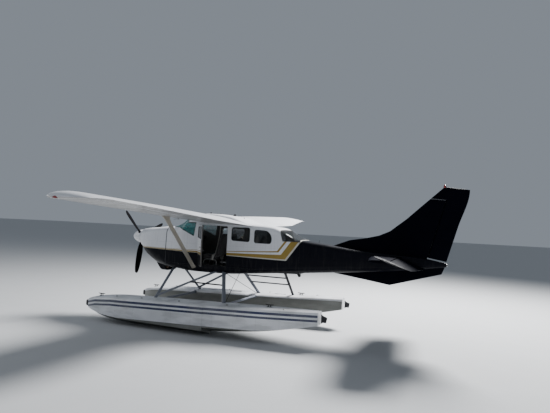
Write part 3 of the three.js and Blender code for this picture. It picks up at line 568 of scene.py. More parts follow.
def crossLoop(chain):
    # a chain of [aft, up] points from the middle line round the starboard side and back to the
    # middle line, closed by its own mirror image to port
    half = onSkin(along(chain, 0.01))
    half = half[half[:, 1] > 0]
    half = np.vstack([[half[0, 0], 0], half, [half[-1, 0], 0]])
    return closedLoop(np.vstack([half, half[-2:0:-1] * (1, -1)]))


def insideOutline(points, outline):
    # inside is where a level line from the point crosses the outline an odd number of times
    x, y = points[:, :1], points[:, 1:]
    start, end = outline, np.roll(outline, -1, axis=0)
    crosses = (start[:, 1] > y) != (end[:, 1] > y)
    rise = np.where(start[:, 1] == end[:, 1], 1, end[:, 1] - start[:, 1])
    at = start[:, 0] + (y - start[:, 1]) * (end[:, 0] - start[:, 0]) / rise
    return (crosses & (x < at)).sum(axis=1) % 2 == 1


def trimmedGrid(outline, holes, step):
    # a grid's points inside the outline and outside the holes, joined with both by triangles
    def within(points):
        kept = insideOutline(points, outline)
        for hole in holes:
            kept &= ~insideOutline(points, hole)
        return kept

    loops = [outline, *holes]
    low, high = outline.min(0), outline.max(0)
    columns = [np.linspace(a, b, max(3, round((b - a) / step))) for a, b in zip(low, high)]
    inner = np.stack(np.meshgrid(*columns, indexing="ij"), -1).reshape(-1, 2)
    inner = inner[within(inner)]
    edge = np.vstack(loops)
    apart = np.full(len(inner), np.inf)
    for block in np.array_split(edge, max(1, len(edge) // 200)):
        apart = np.minimum(apart, ((inner[:, None] - block[None]) ** 2).sum(2).min(1))
    inner = inner[apart > (0.4 * step) ** 2]
    edges, count = [], len(inner)
    for loop in loops:
        index = np.arange(len(loop)) + count
        edges += np.column_stack([index, np.roll(index, -1)]).tolist()
        count += len(loop)
    points, _, faces, *_ = delaunay_2d_cdt(np.vstack([inner, *loops]).tolist(), edges, [], 0, 1e-7)
    points, faces = np.array([p[:] for p in points]), np.array(faces)
    faces = faces[within(points[faces].mean(axis=1))]
    a, b, c = points[faces[:, 0]], points[faces[:, 1]], points[faces[:, 2]]
    area = (b - a)[:, 0] * (c - a)[:, 1] - (b - a)[:, 1] * (c - a)[:, 0]
    faces, area = faces[np.abs(area) > 1e-10], area[np.abs(area) > 1e-10]
    faces[area < 0] = faces[area < 0][:, ::-1]
    return points, faces


def shellShape(lift, outline, holes, thickness, depth=0.0, step=0.035, innerTag=0):
    # the trimmed grid lifted on to a surface twice, at a depth below it and a thickness deeper,
    # with walls along every free edge
    flat, faces = trimmedGrid(outline, holes, step)
    outer, inner = lift(flat, depth), lift(flat, depth + thickness)
    _, first, same = np.unique(np.round(outer, 6), axis=0, return_index=True, return_inverse=True)
    outer, inner, faces = outer[first], inner[first], same.reshape(-1)[faces]
    faces = faces[(faces[:, 0] != faces[:, 1]) & (faces[:, 1] != faces[:, 2]) & (faces[:, 2] != faces[:, 0])]
    edges = np.vstack([faces[:, [0, 1]], faces[:, [1, 2]], faces[:, [2, 0]]])
    _, where, count = np.unique(np.sort(edges, 1), axis=0, return_index=True, return_counts=True)
    free = edges[where[count == 1]]
    walls = np.column_stack([free[:, 1], free[:, 0], free[:, 0] + len(outer), free[:, 1] + len(outer)])
    allFaces = faces.tolist() + (faces[:, ::-1] + len(outer)).tolist() + walls.tolist()
    tags = [0] * len(faces) + [innerTag] * (len(faces) + len(walls))
    return np.vstack([outer, inner]), allFaces, tags


def skinShell(outline, thickness, depth=0.0, holes=(), **more):
    return shellShape(bodyPoint, outline, holes, thickness, depth, **more)


# Cabin: outlines of [aft, up] points, as the solids have them
cabin = {
    "front": 1.4053, "end": 4.9297, "sill": -0.600, "roof": 0.440, "deck": 0.215, "deckEnd": 1.850,
    "wall": 0.030, "skin": 0.010, "glass": 0.005, "seam": 0.0015,
    "windshieldBase": [[1.500, 0.317], [1.770, 0.300], [2.215, 0.108]], "baseSetBack": 0.02,
    "post": 2.262, "brow": 2.050, "roofEnd": 3.99, "sideTop": 4.0, "overDeck": 0.5, "overRoof": 0.8,
    "rearWindowBase": 0.105, "rearWindowFoot": [4.530, 0.105], "rearWindowHead": [4.462, 0.350], "rearHeadLap": 0.345,
    "middleWindow": [[3.262, 0.055], [3.262, 0.365], [3.728, 0.375], [3.728, 0.040]],
    "rearSideWindow": [[3.850, 0.025], [3.850, 0.335], [4.140, 0.325], [4.215, 0.275], [4.270, 0.165], [4.255, 0.025]],
    "doorWindow": [[2.412, 0.082], [2.428, 0.340], [3.070, 0.345], [3.070, 0.060]],
    "windowRadius": 0.055, "holeRadius": 0.05, "paneDepth": 0.002, "glassDepth": 0.001,
}
base, seam, glass, trim = cabin["windshieldBase"], cabin["seam"], cabin["glass"], look["shadedCabinTrim"]
cabinFront, cabinEnd, sill, roof, deck, deckEnd = (
    cabin[k] for k in ("front", "end", "sill", "roof", "deck", "deckEnd"))
baseFront = base[0][0] - cabin["baseSetBack"]
baseAtDeckEnd = float(np.interp(deckEnd, *np.array(base).T))

deckLoop = crossLoop([
    [cabinFront, cabin["overDeck"]], [cabinFront, deck + seam], [deckEnd, deck + seam],
    [deckEnd, baseAtDeckEnd - seam], [base[1][0], base[1][1] - seam], [baseFront, base[0][1]],
    [baseFront, cabin["overDeck"]],
])
windshieldLoop = crossLoop([
    [baseFront + seam, cabin["overRoof"]], [baseFront + seam, base[0][1] + seam], *base[1:],
    [cabin["post"], roof], [cabin["brow"], roof], [cabin["brow"], cabin["overRoof"]],
])
addPiece("frontDeck", skinShell(deckLoop, cabin["skin"]), livery, stands="front_deck", slot="white_paint")
addPiece("windshieldGlass", skinShell(windshieldLoop, glass, cabin["glassDepth"]), look["tealGlass"],
         stands="windshield", slot="tinted_glass")


def sidePanelLoop():
    # the starboard panel: sill, rear window, middle line of the roof, roof line, windshield, deck
    low = onSkin(along([[cabinFront, sill], [cabinEnd, sill], [cabinEnd, cabin["rearWindowBase"]],
                        cabin["rearWindowFoot"], cabin["rearWindowHead"]]))
    high = onSkin(along([[cabin["sideTop"], roof], [cabin["post"], roof], base[2], [deckEnd, baseAtDeckEnd],
                         [deckEnd, deck], [cabinFront, deck]]))
    high = high[high[:, 1] > 0]
    crown = [[low[-1, 0], 0], [high[0, 0] + 0.01, 0]]
    return closedLoop(np.vstack([low, crown, high]))


left, right, bottom, top = door["hole"]
gap = door["gap"]
leafCorners = rectangle((left + gap, bottom + gap), (right - gap, top - gap))
windowLoops = {n: sideLoop(cabin[n], cabin["windowRadius"]) for n in ("middleWindow", "rearSideWindow", "doorWindow")}
sideHoles = [sideLoop(rectangle((left, bottom), (right, top)), cabin["holeRadius"]),
             windowLoops["middleWindow"], windowLoops["rearSideWindow"]]
addPair("cabinSide", skinShell(sidePanelLoop(), cabin["wall"], holes=sideHoles, innerTag=1), [livery, trim],
        stands="cabin_side", slot="white_paint")
for name, node in (("middleWindow", "window_middle"), ("rearSideWindow", "window_rear")):
    addPair(name + "Glass", skinShell(windowLoops[name], glass, cabin["paneDepth"]), look["smokedGlass"],
            stands=node, slot="tinted_glass")

roofLoop = crossLoop([
    [cabin["brow"] + seam, cabin["overRoof"]], [cabin["brow"] + seam, roof + seam],
    [cabin["roofEnd"], roof + seam], [cabin["roofEnd"], cabin["overRoof"]],
])
rearHead = cabin["rearWindowHead"][0] + seam
rearLoop = crossLoop([
    [rearHead, cabin["overRoof"]], [rearHead, cabin["rearHeadLap"]], cabin["rearWindowFoot"],
    [cabinEnd, cabin["rearWindowBase"]], [cabinEnd, cabin["overRoof"]],
])
addPiece("cabinRoof", skinShell(roofLoop, cabin["wall"], innerTag=1), [livery, look["headliner"]],
         stands="cabin_roof", slot="white_paint")
addPiece("rearWindowGlass", skinShell(rearLoop, glass, cabin["glassDepth"]), look["rearGlass"],
         stands="rear_window", slot="tinted_glass")

# Belly tub: the same surface round the belly's middle line
tubRight = onSkin(along([[cabinFront, sill - seam], [cabinEnd, sill - seam]]))
tubLoop = closedLoop(np.vstack([tubRight, tubRight[::-1] * (1, -1) + fullTurn]))

seats = {
    "places": [[2.39, -0.285], [2.39, 0.285], [3.24, -0.285], [3.24, 0.285]],
    "nodes": ["seat_front_left", "seat_front_right", "seat_middle_left", "seat_middle_right"],
    "length": 0.48, "width": 0.45, "cushion": 0.11, "back": 0.09, "backHeight": 0.56, "lean": 0.11,
    "bottom": -0.44, "tube": 0.026, "frameInset": 0.06, "frameDrop": 0.016, "crossTubes": (0.14, 0.36),
    "bend": [[0.06, -0.060], [0.09, -0.015], [0.14, 0], [0.36, 0], [0.40, -0.015], [0.42, -0.060]],
    "rail": {"low": (-0.05, -0.02, 0), "high": (0.55, 0.02, 0.016), "radius": 0.004},
}
floor = {"level": -0.640, "thickness": 0.020, "rows": 60, "endGap": 0.02, "wallGap": 0.004}


def floorShape():
    # rows across the cabin, as wide as the wall's inner face at the floor's level
    level, low = floor["level"], floor["level"] - floor["thickness"]
    station = np.linspace(cabinFront + floor["endGap"], cabinEnd - floor["endGap"], floor["rows"])
    edge = onSkin(np.column_stack([station, np.full(floor["rows"], level)]))
    width = bodyPoint(edge, cabin["skin"] + floor["wallGap"])[:, 1:2]
    return gridShape(grid(station[:, None], width * (-1, 1, 1, -1), (level, level, low, low)))


def seatFrame(place):
    # two bent side tubes on four legs, tied by cross tubes, standing on two floor rails
    x, y = place
    reach, top, rail = seats["width"] / 2 - seats["frameInset"], seats["bottom"] - seats["frameDrop"], seats["rail"]
    parts = []
    for edge in (y - reach, y + reach):
        bend = [[x + aft, edge, top + up] for aft, up in seats["bend"]]
        legs = [[bend[i][0], edge, floor["level"]] for i in (0, -1)]
        parts.append(carried([legs[0], *bend, legs[1]], circle(seats["tube"], 10), starboard))
        foot = np.array([x, edge, floor["level"]])
        parts.append(roundedBox(foot + rail["low"], foot + rail["high"], rail["radius"]))
    for at in seats["crossTubes"]:
        parts.append(rod((x + at, y - reach, top), (x + at, y + reach, top), seats["tube"], 10, upward))
    return joined(*parts)


addPiece("bellySkin", skinShell(tubLoop, cabin["skin"], innerTag=1), [livery, darkMetal],
         stands="cabin_floor", slot="navy_paint")
addPiece("cabinCarpet", floorShape(), look["carpet"])
addPiece("seatFrames", joined(*map(seatFrame, seats["places"])), bareMetal, slot="bare_steel")
print("cabin shells ready")

gasket = {"diameter": 0.013, "lift": 0.001}


def beadRound(loop):
    # a rubber bead along an outline on the skin, its side direction away from the body's middle line
    path = bodyPoint(loop, -gasket["lift"])
    return carried(path, circle(gasket["diameter"], 8), path * (0, 1, 1), True)


sideBeads = [beadRound(windowLoops[n]) for n in ("middleWindow", "rearSideWindow")]
addPiece("windowGaskets", joined(*sideBeads, *map(mirrored, sideBeads), beadRound(windshieldLoop), beadRound(rearLoop)),
         rubber)

# Seat pads: blown up as cloth from a slightly smaller block, then sewn. The channels are places
# aft on the cushion and up from its top on the backrest
padding = {
    "voxel": 0.009, "pressure": 4.0, "frames": 20, "cap": 0.016, "inset": 0.014, "bluntness": 0.30,
    "channels": (0.13, 0.21, 0.29), "backChannels": (0.10, 0.19, 0.28, 0.37), "channelDepth": 0.007,
    "channelWidth": 0.009, "piping": 0.010, "pipeShares": (0.74, 0.35), "shoulder": 0.60, "head": 0.86,
    "neck": 0.38, "fill": 0.7, "base": 0.006, "tuck": 0.085, "margin": 0.001, "slice": 0.010, "poleGap": 0.03,
}


def softBlock(low, high, steps=34):
    # a superellipsoid that fills the box: its sines and cosines are raised to a small power
    low, high = np.asarray(low, float), np.asarray(high, float)
    v = np.linspace(padding["poleGap"], math.pi - padding["poleGap"], steps)[:, None]
    u = np.linspace(0, 2 * math.pi, 2 * steps, endpoint=False)[None]

    def blunt(wave):
        return np.sign(wave) * np.abs(wave) ** padding["bluntness"]

    points = grid(blunt(np.sin(v)) * blunt(np.cos(u)), blunt(np.sin(v)) * blunt(np.sin(u)), blunt(np.cos(v)))
    return gridShape((low + high) / 2 + points * (high - low) / 2)


def blownUp(shape):
    # the closed shape is remeshed evenly and swells as cloth under pressure, without gravity; each
    # point keeps its direction of travel and goes no further than the cap
    scene = bpy.context.scene
    mesh = bpy.data.meshes.new("padStart")
    mesh.from_pydata(shape[0].tolist(), [], shape[1])
    pad = bpy.data.objects.new("padStart", mesh)
    scene.collection.objects.link(pad)
    even = pad.modifiers.new("even", "REMESH")
    even.mode, even.voxel_size = "VOXEL", padding["voxel"]
    pad.data = bpy.data.meshes.new_from_object(pad.evaluated_get(bpy.context.evaluated_depsgraph_get()))
    pad.modifiers.clear()
    count = len(pad.data.vertices)
    start, end = np.empty(3 * count), np.empty(3 * count)
    pad.data.vertices.foreach_get("co", start)
    corners = np.empty(len(pad.data.loops), int)
    pad.data.loops.foreach_get("vertex_index", corners)
    start = start.reshape(-1, 3)
    points = start
    blow = pad.modifiers.new("blow", "CLOTH")
    blow.settings.use_pressure = True
    blow.settings.uniform_pressure_force = padding["pressure"]
    blow.settings.effector_weights.gravity = 0
    blow.point_cache.frame_start, blow.point_cache.frame_end = 1, padding["frames"]
    for frameNumber in range(1, padding["frames"] + 1):
        scene.frame_set(frameNumber)
    pad.evaluated_get(bpy.context.evaluated_depsgraph_get()).data.vertices.foreach_get("co", end)
    scene.frame_set(1)
    travel = end.reshape(-1, 3) - start
    reach = np.linalg.norm(travel, axis=1, keepdims=True)
    points = start + travel * np.minimum(1, padding["cap"] / np.maximum(reach, 1e-9))
    bpy.data.objects.remove(pad)
    faces = corners.reshape(-1, 4).tolist()
    return points, faces, [0] * len(faces)


def sewnAcross(points, axis, normal, spots):
    # on the side that faces the normal, each channel sinks by a bell curve across it
    points = points.copy()
    front = np.sign(normal[1]) * (points[:, normal[0]] - np.median(points[:, normal[0]])) > 0
    for spot in spots:
        sink = padding["channelDepth"] * np.exp(-(((points[:, axis] - spot) / padding["channelWidth"]) ** 2))
        points[front, normal[0]] -= np.sign(normal[1]) * sink[front]
    return points


def rimOf(points, axis, share, steps=90):
    # round the pad at a share of its thickness: for each direction from the middle, the furthest
    # point of a thin slice, smoothed with its neighbours
    others = [i for i in range(3) if i != axis]
    low, high = points[:, axis].min(), points[:, axis].max()
    thin = points[np.abs(points[:, axis] - (low + share * (high - low))) < padding["slice"]]
    middle = thin.mean(0)
    angle = np.arctan2(*(thin - middle)[:, others[::-1]].T)
    bins = ((angle + math.pi) / (2 * math.pi) * steps).astype(int) % steps
    order = np.argsort(np.linalg.norm((thin - middle)[:, others], axis=1))
    best = np.full(steps, -1)
    best[bins[order]] = order
    rim = thin[best[best >= 0]]
    for _ in range(2):
        rim = (np.roll(rim, 1, 0) + 2 * rim + np.roll(rim, -1, 0)) / 4
    return rim


inset, margin, halfSeat = padding["inset"], padding["margin"], seats["width"] / 2
seatTop, backFront = seats["bottom"] + seats["cushion"], seats["length"] - seats["back"]
cushion = blownUp(softBlock((inset, -halfSeat + inset, seats["bottom"] + padding["base"]),
                            (backFront - inset, halfSeat - inset, seatTop - inset)))
cushionPoints = sewnAcross(cushion[0], 0, (2, 1), padding["channels"])
cushionPoints[:, 2] = np.maximum(cushionPoints[:, 2], seats["bottom"])  # flat where it rests on its frame
cushionPoints[:, 0] = np.clip(cushionPoints[:, 0], margin, backFront - margin)
backrest = blownUp(softBlock((backFront + inset, -halfSeat + inset, seatTop - padding["tuck"] + inset),
                             (seats["length"] - inset, halfSeat - inset, seatTop + seats["backHeight"] - inset)))
backPoints = sewnAcross(backrest[0], 2, (0, -1), [seatTop + t for t in padding["backChannels"]])
backPoints[:, 0] = np.clip(backPoints[:, 0], backFront + margin, seats["length"] - margin)
rise = np.clip((backPoints[:, 2] - seatTop) / seats["backHeight"], 0, 1)
narrow = np.clip((rise - padding["shoulder"]) / (padding["head"] - padding["shoulder"]), 0, 1)
backPoints[:, 1] *= 1 - padding["neck"] * (3 - 2 * narrow) * narrow**2  # shoulders draw in to a headrest
leaning = np.clip(backPoints[:, 2] - seatTop, -padding["tuck"], 1)
backPoints[:, 0] += leaning * seats["lean"] / seats["backHeight"]
pipe, (cushionShare, backShare) = circle(padding["piping"], 8), padding["pipeShares"]
pipes = [carried(rimOf(cushionPoints, 2, cushionShare), pipe, upward, True),
         carried(rimOf(backPoints, 0, backShare), pipe, aftward, True)]
belts = {
    "width": 0.046, "thickness": 0.003, "buckle": (0.026, 0.03, 0.013), "buckleRadius": 0.005,
    "overhang": 0.012, "steps": 41, "aft": 0.335, "bow": 0.05, "near": 0.016, "fallback": 0.035,
    "anchor": (0.345, 0.001, 0.02),
    "shoulder": [
        [2.880, 0.455, 0.420], [2.872, 0.450, 0.360], [2.862, 0.440, 0.290], [2.852, 0.430, 0.215],
        [2.838, 0.420, 0.130], [2.818, 0.412, 0.030], [2.795, 0.405, -0.090], [2.772, 0.405, -0.200],
        [2.752, 0.420, -0.290], [2.745, 0.470, -0.345], [2.745, 0.512, -0.430],
    ],
}
strapSection = rectangle((-belts["width"] / 2, 0), (belts["width"] / 2, belts["thickness"]))


def lapBelt():
    # from both sides of the frame up and over the cushion's rear to a buckle in the middle, each
    # point on the highest cushion point near it
    y = np.linspace(-halfSeat - belts["overhang"], halfSeat + belts["overhang"], belts["steps"])
    x = belts["aft"] - belts["bow"] * np.cos(y / halfSeat * math.pi / 2)
    near = np.abs(cushionPoints[None, :, 0] - x[:, None]) + np.abs(cushionPoints[None, :, 1] - y[:, None])
    z = np.where(near < belts["near"], cushionPoints[None, :, 2], -9).max(1)
    z = np.where(z < -5, seatTop - belts["fallback"], z) + belts["thickness"]
    aft, out, down = belts["anchor"]
    low = seats["bottom"] - down
    path = np.vstack([[aft, y[0] - out, low], np.column_stack([x, y, z])[1:-1], [aft, y[-1] + out, low]])
    path[1:-1] = (path[:-2] + 2 * path[1:-1] + path[2:]) / 4
    middle, (long, wide, high) = belts["steps"] // 2, belts["buckle"]
    clasp = roundedBox((x[middle] - long, -wide, z[middle]), (x[middle] + long, wide, z[middle] + high),
                       belts["buckleRadius"])
    return carried(path, strapSection, aftward), clasp


strap, buckle = lapBelt()
allPipes, allStraps, allBuckles = [], [], []
for number, (node, (x, y)) in enumerate(zip(seats["nodes"], seats["places"]), 1):
    for name, form, points in (("seatCushion", cushion, cushionPoints), ("seatBackrest", backrest, backPoints)):
        pad = addPiece(f"{name}{number}", moved((points, *form[1:]), (x, y, 0)), cloth, "airframe", node,
                       "seat_cloth", crease=180)
        soft = pad.modifiers.new("soft", "SUBSURF")
        soft.levels = soft.render_levels = 1
    allPipes += [moved(pipe, (x, y, 0)) for pipe in pipes]
    allStraps.append(moved(strap, (x, y, 0)))
    allBuckles.append(moved(buckle, (x, y, 0)))
shoulder = carried(smoothPath(belts["shoulder"], 61), strapSection, starboard)
addPiece("seatPiping", joined(*allPipes), rubber)
addPiece("seatBelts", joined(*allStraps, shoulder, mirrored(shoulder)), look["beltWebbing"])
addPiece("beltBuckles", joined(*allBuckles), bareMetal)
print("seats ready")

# Cockpit: dials in the panel, a centre stack with knobs, levers and two control wheels. Profiles
# are [distance aft, radius], and the bezel's are shares of the dial's radius
cockpit = {
    "face": (1.7395, 0.0676), "level": -0.120, "dialRows": (0.165, 0.062), "pilotDials": (-0.44, -0.345, -0.25, -0.155),
    "otherDials": (0.27, 0.36), "dial": 0.078, "dialTilt": (1, 0, -0.067),
    "bezel": [[-0.004, 0], [-0.004, 1], [0.006, 1], [0.008, 0.93], [0.006, 0.82], [0.002, 0.78], [0.002, 0]],
    "needle": {"reach": 0.62, "lift": 0.005, "size": 0.003, "perRow": 0.9, "perDial": 1.3},
    "stack": (0.015, 0.060, 0.105, 0.150), "stackHalf": 0.085, "stackSize": (0.012, 0.036),
    "stackRadius": 0.003, "knobsAt": (-0.070, 0.070),
    "knob": [[0, 0], [0, 0.009], [0.020, 0.007], [0.020, 0]], "leversAt": (-0.06, 0.0, 0.06), "leverLevel": -0.075,
    "lever": [[0, 0], [0, 0.004], [0.045, 0.004], [0.048, 0.013], [0.062, 0.012], [0.065, 0]],
    "wheels": (-0.285, 0.285), "wheelStation": 1.985, "wheelLevel": -0.015, "grip": (0.026, 0.022),
    "wheelLine": [[-0.120, 0.105], [-0.140, 0.060], [-0.132, 0.005], [-0.085, -0.032], [0, -0.040],
                  [0.085, -0.032], [0.132, 0.005], [0.140, 0.060], [0.120, 0.105]],
    "hub": {"low": (-0.014, -0.035, -0.058), "high": (0.014, 0.035, -0.010), "radius": 0.008},
    "column": 0.028, "columnDrop": 0.034,
}


def onPanel(y, z):
    # a point of the instrument panel's face, which leans aft towards its top
    return (cockpit["face"][0] + cockpit["face"][1] * (z - cockpit["level"]), y, z)


dials, needles, wheels = [], [], []
across, needle, hub = cockpit["dial"] / 2, cockpit["needle"], cockpit["hub"]
bezel = [[aft, across * share] for aft, share in cockpit["bezel"]]
for i, z in enumerate(cockpit["dialRows"]):
    for j, y in enumerate((*cockpit["pilotDials"], *cockpit["otherDials"])):
        at = np.array(onPanel(y, z))
        dials.append(lathe(bezel, 24, cockpit["dialTilt"], at))
        turn, long = needle["perRow"] * i + needle["perDial"] * j, across * needle["reach"]
        tip = at + (needle["lift"], math.sin(turn) * long, math.cos(turn) * long)
        needles.append(rod(at + (needle["lift"], 0, 0), tip, needle["size"], 6))
half, (proud, tall) = cockpit["stackHalf"], cockpit["stackSize"]
stack = [roundedBox((onPanel(0, z)[0], -half, z), (onPanel(0, z)[0] + proud, half, z + tall), cockpit["stackRadius"])
         for z in cockpit["stack"]]
knobs = [lathe(cockpit["knob"], 12, aftward, onPanel(y, z + tall / 2))
         for z in cockpit["stack"] for y in cockpit["knobsAt"]]
levers = [lathe(cockpit["lever"], 12, aftward, onPanel(y, cockpit["leverLevel"])) for y in cockpit["leversAt"]]
wheelPath = smoothPath(cockpit["wheelLine"], 49)
for y in cockpit["wheels"]:
    at = np.array((cockpit["wheelStation"], y, cockpit["wheelLevel"]))
    level = at[2] - cockpit["columnDrop"]
    gripPath = np.column_stack([np.full(49, at[0]), wheelPath + at[1:]])
    wheels.append(carried(gripPath, circle(cockpit["grip"][0], 12, cockpit["grip"][1]), aftward))
    wheels.append(roundedBox(at + hub["low"], at + hub["high"], hub["radius"]))
    wheels.append(rod(onPanel(y, level), (at[0], y, level), cockpit["column"], 14))
addPiece("panelDials", joined(*dials, *stack), darkMetal)
addPiece("dialNeedles", joined(*needles, *knobs), look["beltWebbing"])
addPiece("controlWheels", joined(*wheels, *levers), panelBlack)
print("cockpit ready")

# Cowling: a nose cap scaled from the shaft's axis, bulging with a high power of the radius, then
# the skin back to the firewall
cowl = {
    "front": 0.345, "lip": 0.125, "power": 4.6, "join": 0.470, "back": 1.3847, "shaftHole": 0.200,
    "inletPlace": (0.215, 0.02), "inletSize": (0.200, 0.130), "thickness": 0.008, "noseStep": 0.022, "around": 120,
    "scoop": {"front": 0.890, "knee": 1.120, "back": 1.240, "reach": 0.300, "brim": -0.585, "low": -0.850,
              "power": 0.35},
    # the mouth's girth is its half width by the girth per metre
    "mouth": {"inFront": 0.03, "behind": 0.005, "girth": 0.62 * 0.42, "radius": 0.04},
}
ringGirth = np.linspace(-1, 1, cowl["around"] + 1)[:-1] * girthLength
noseRing = bodyPoint(np.column_stack([np.full(cowl["around"], cowl["join"]), ringGirth]))[:, 1:]
noseRing = noseRing[np.argsort(np.arctan2(noseRing[:, 1], noseRing[:, 0]))]
ringAngle, ringReach = np.arctan2(noseRing[:, 1], noseRing[:, 0]), np.hypot(*noseRing.T)


def nosePoint(flat, inset=0.0):
    # the depth is a power of the share of the way out to the ring, where the skin begins
    reach = np.interp(np.arctan2(flat[:, 1], flat[:, 0]), ringAngle, ringReach, period=2 * math.pi)
    share = np.hypot(*flat.T) / reach
    shrink = 1 - inset / reach * share
    depth = cowl["front"] + cowl["lip"] * share ** cowl["power"] + inset * (1 - share ** cowl["power"])
    return np.column_stack([depth, flat[:, 0] * shrink, flat[:, 1] * shrink])


def scoopShape():
    # a trough below the cowling: each section is a power curve from one side round to the other,
    # twice, a wall's thickness apart, and its depth grows with the cubic smooth step of the distance
    scoop, power = cowl["scoop"], cowl["scoop"]["power"]
    x = np.linspace(scoop["front"], scoop["back"], 24)[:, None]
    rise = np.clip((x - scoop["front"]) / (scoop["knee"] - scoop["front"]), 0, 1)
    low = scoop["brim"] + (scoop["low"] - scoop["brim"]) * (3 - 2 * rise) * rise**2
    turn = np.linspace(0, math.pi, 40)
    rows = []
    for wall in (0, cowl["thickness"]):
        y = (scoop["reach"] - wall) * np.sign(np.cos(turn)) * np.abs(np.cos(turn)) ** power
        rows.append(grid(x, y, scoop["brim"] + (low + wall - scoop["brim"]) * np.sin(turn)[None] ** power))
    return gridShape(np.concatenate([rows[0], rows[1][:, ::-1]], 1))


inlet = circle(cowl["inletSize"][0], 40, cowl["inletSize"][1])
inletLoops = [inlet + (side * cowl["inletPlace"][0], cowl["inletPlace"][1]) for side in (-1, 1)]
noseShape = shellShape(nosePoint, noseRing, [circle(cowl["shaftHole"], 40), *inletLoops], cowl["thickness"],
                       step=cowl["noseStep"], innerTag=1)
mouth = cowl["mouth"]
mouthLoop = closedLoop(rounded(rectangle(
    (cowl["scoop"]["front"] + mouth["inFront"], girthLength - mouth["girth"]),
    (cowl["scoop"]["back"] - mouth["behind"], girthLength + mouth["girth"])), mouth["radius"]))
cowlLoop = roundLoop(cowl["join"], cowl["back"], cowl["around"])
cowlShape = skinShell(cowlLoop, cowl["thickness"], holes=[mouthLoop], innerTag=1)
addPiece("cowlingSkin", joined(noseShape, cowlShape, scoopShape()), [livery, darkMetal],
         stands="cowling", slot="white_paint")
print("cowling ready")

# Tailcone with a slot on each side for the elevator's tube
tailcone = {
    "front": 4.9453, "back": 8.18, "thickness": 0.006, "slot": [[7.135, -0.184], [7.241, -0.096]],
    "slotRadius": 0.02, "slotStep": 0.01, "step": 0.04, "around": 96, "lampLevel": -0.217,
    "lamp": [[-0.01, 0.0], [-0.01, 0.020], [0.015, 0.020], [0.030, 0.013], [0.036, 0.0]],
}
slotLoop = sideLoop(rectangle(*tailcone["slot"]), tailcone["slotRadius"], tailcone["slotStep"])
coneShape = skinShell(roundLoop(tailcone["front"], tailcone["back"], tailcone["around"]), tailcone["thickness"],
                      holes=[slotLoop, slotLoop * (1, -1) + fullTurn], step=tailcone["step"])
addPiece("tailconeSkin", coneShape, livery, stands="tailcone", slot="navy_paint")
# its lens is painted dark grey, as painted shade
addPiece("tailLamp", lathe(tailcone["lamp"], 20, centre=(tailcone["back"], 0, tailcone["lampLevel"])),
         look["shadedClearLens"])

# Doors: a leaf in the same surface, a pane in it, a bead, a handle outside, and a latch with an
# armrest inside. The starboard door is shut, and the port one is its mirror image, swung open
handle = {
    "at": (3.045, -0.135), "length": 0.105, "size": (0.020, 0.014), "lift": 0.012, "skinAt": 3.0,
    "swell": [0.5, 0.8, 1, 1, 1, 1, 1, 1.1, 1.0], "stem": [[-0.030, 0], [-0.030, 0.019], [-0.003, 0.017], [0.001, 0]],
}
doorTrim = {"latch": ((3.02, 0.552, -0.20), (3.10, 0.574, -0.17), 0.006),
            "armrest": ((2.60, 0.505, -0.235), (2.98, 0.572, -0.195), 0.014), "leafRadius": 0.045}


def toPort(shape):
    # mirrored, then swung about the port hinge as the photograph shows it
    return turnedAbout(mirrored(shape), "Z", -door["open"], (door["hinge"][0], -door["hinge"][1], 0))


def doorHandle():
    # a bar along the skin with a round stem at its aft end
    aft, up = handle["at"]
    girth = onSkin([[handle["skinAt"], up]])[0, 1]
    grip = bodyPoint(np.column_stack([np.linspace(aft - handle["length"], aft, 9), np.full(9, girth)]), -handle["lift"])
    bar = carried(grip, circle(handle["size"][0], 12, handle["size"][1]), upward, scale=handle["swell"])
    return joined(bar, lathe(handle["stem"], 20, starboard, grip[-1]))


doorLoop = windowLoops["doorWindow"]
leaf = skinShell(sideLoop(leafCorners, doorTrim["leafRadius"]), cabin["wall"], holes=[doorLoop], innerTag=1)
pane = skinShell(doorLoop, glass, cabin["paneDepth"])
inside = joined(roundedBox(*doorTrim["latch"]), roundedBox(*doorTrim["armrest"]))
for side, leafForm, paneForm, paint, tint in (
        ("passenger", leaf, pane, livery, look["paleGlass"]),
        ("pilot", toPort(leaf), toPort(pane), openDoorLivery, look["doorGlass"])):
    body = side + "_door"
    addPiece(side + "DoorLeaf", leafForm, [paint, trim], body, body, "white_paint")
    addPiece(side + "DoorPane", paneForm, tint, body, body + "_window", "tinted_glass")
for name, shape, finish in (
        ("Bead", beadRound(doorLoop), rubber), ("Handle", doorHandle(), bareMetal), ("Armrest", inside, panelBlack)):
    addPiece("passengerDoor" + name, shape, finish, "passenger_door")
    addPiece("pilotDoor" + name, toPort(shape), finish, "pilot_door")
print("doors ready")

# Wings. Columns: y, leading edge, chord, height of the quarter chord, twist in degrees, thickness
wing = {
    "rows": [[0.56, 2.12, 1.645, 0.521, 4.5, 1], [2.54, 2.12, 1.645, 0.606, 4.5, 1],
             [5.15, 2.208, 1.085, 0.722, 1, 1.1]],
    "tip": 5.46, "tipLead": 0.182, "tipTrail": 0.063, "tipDrop": 0.014, "tipTwist": 0.2, "thickness": 0.12,
    "camber": 0.02, "camberAt": 0.4, "gap": 0.006, "cut": 0.0003,
    "flap": {"span": (0.65, 3.06), "hinge": (3.262, 3.262), "hingeHeight": (0.417, 0.535), "bevel": 0, "setBack": 0},
    "aileron": {"span": (3.085, 5.145), "hinge": (3.235, 3.010), "hingeHeight": (0.658, 0.767), "bevel": 22,
                "setBack": 0.0016},
    "noseDepth": 0.075, "partSections": 230,
    "beadPitch": 0.105, "beadHeight": 0.0028, "beadWidth": 0.014, "beadFade": 0.03, "ridge": (0.02, 0.98, 0.03),
}


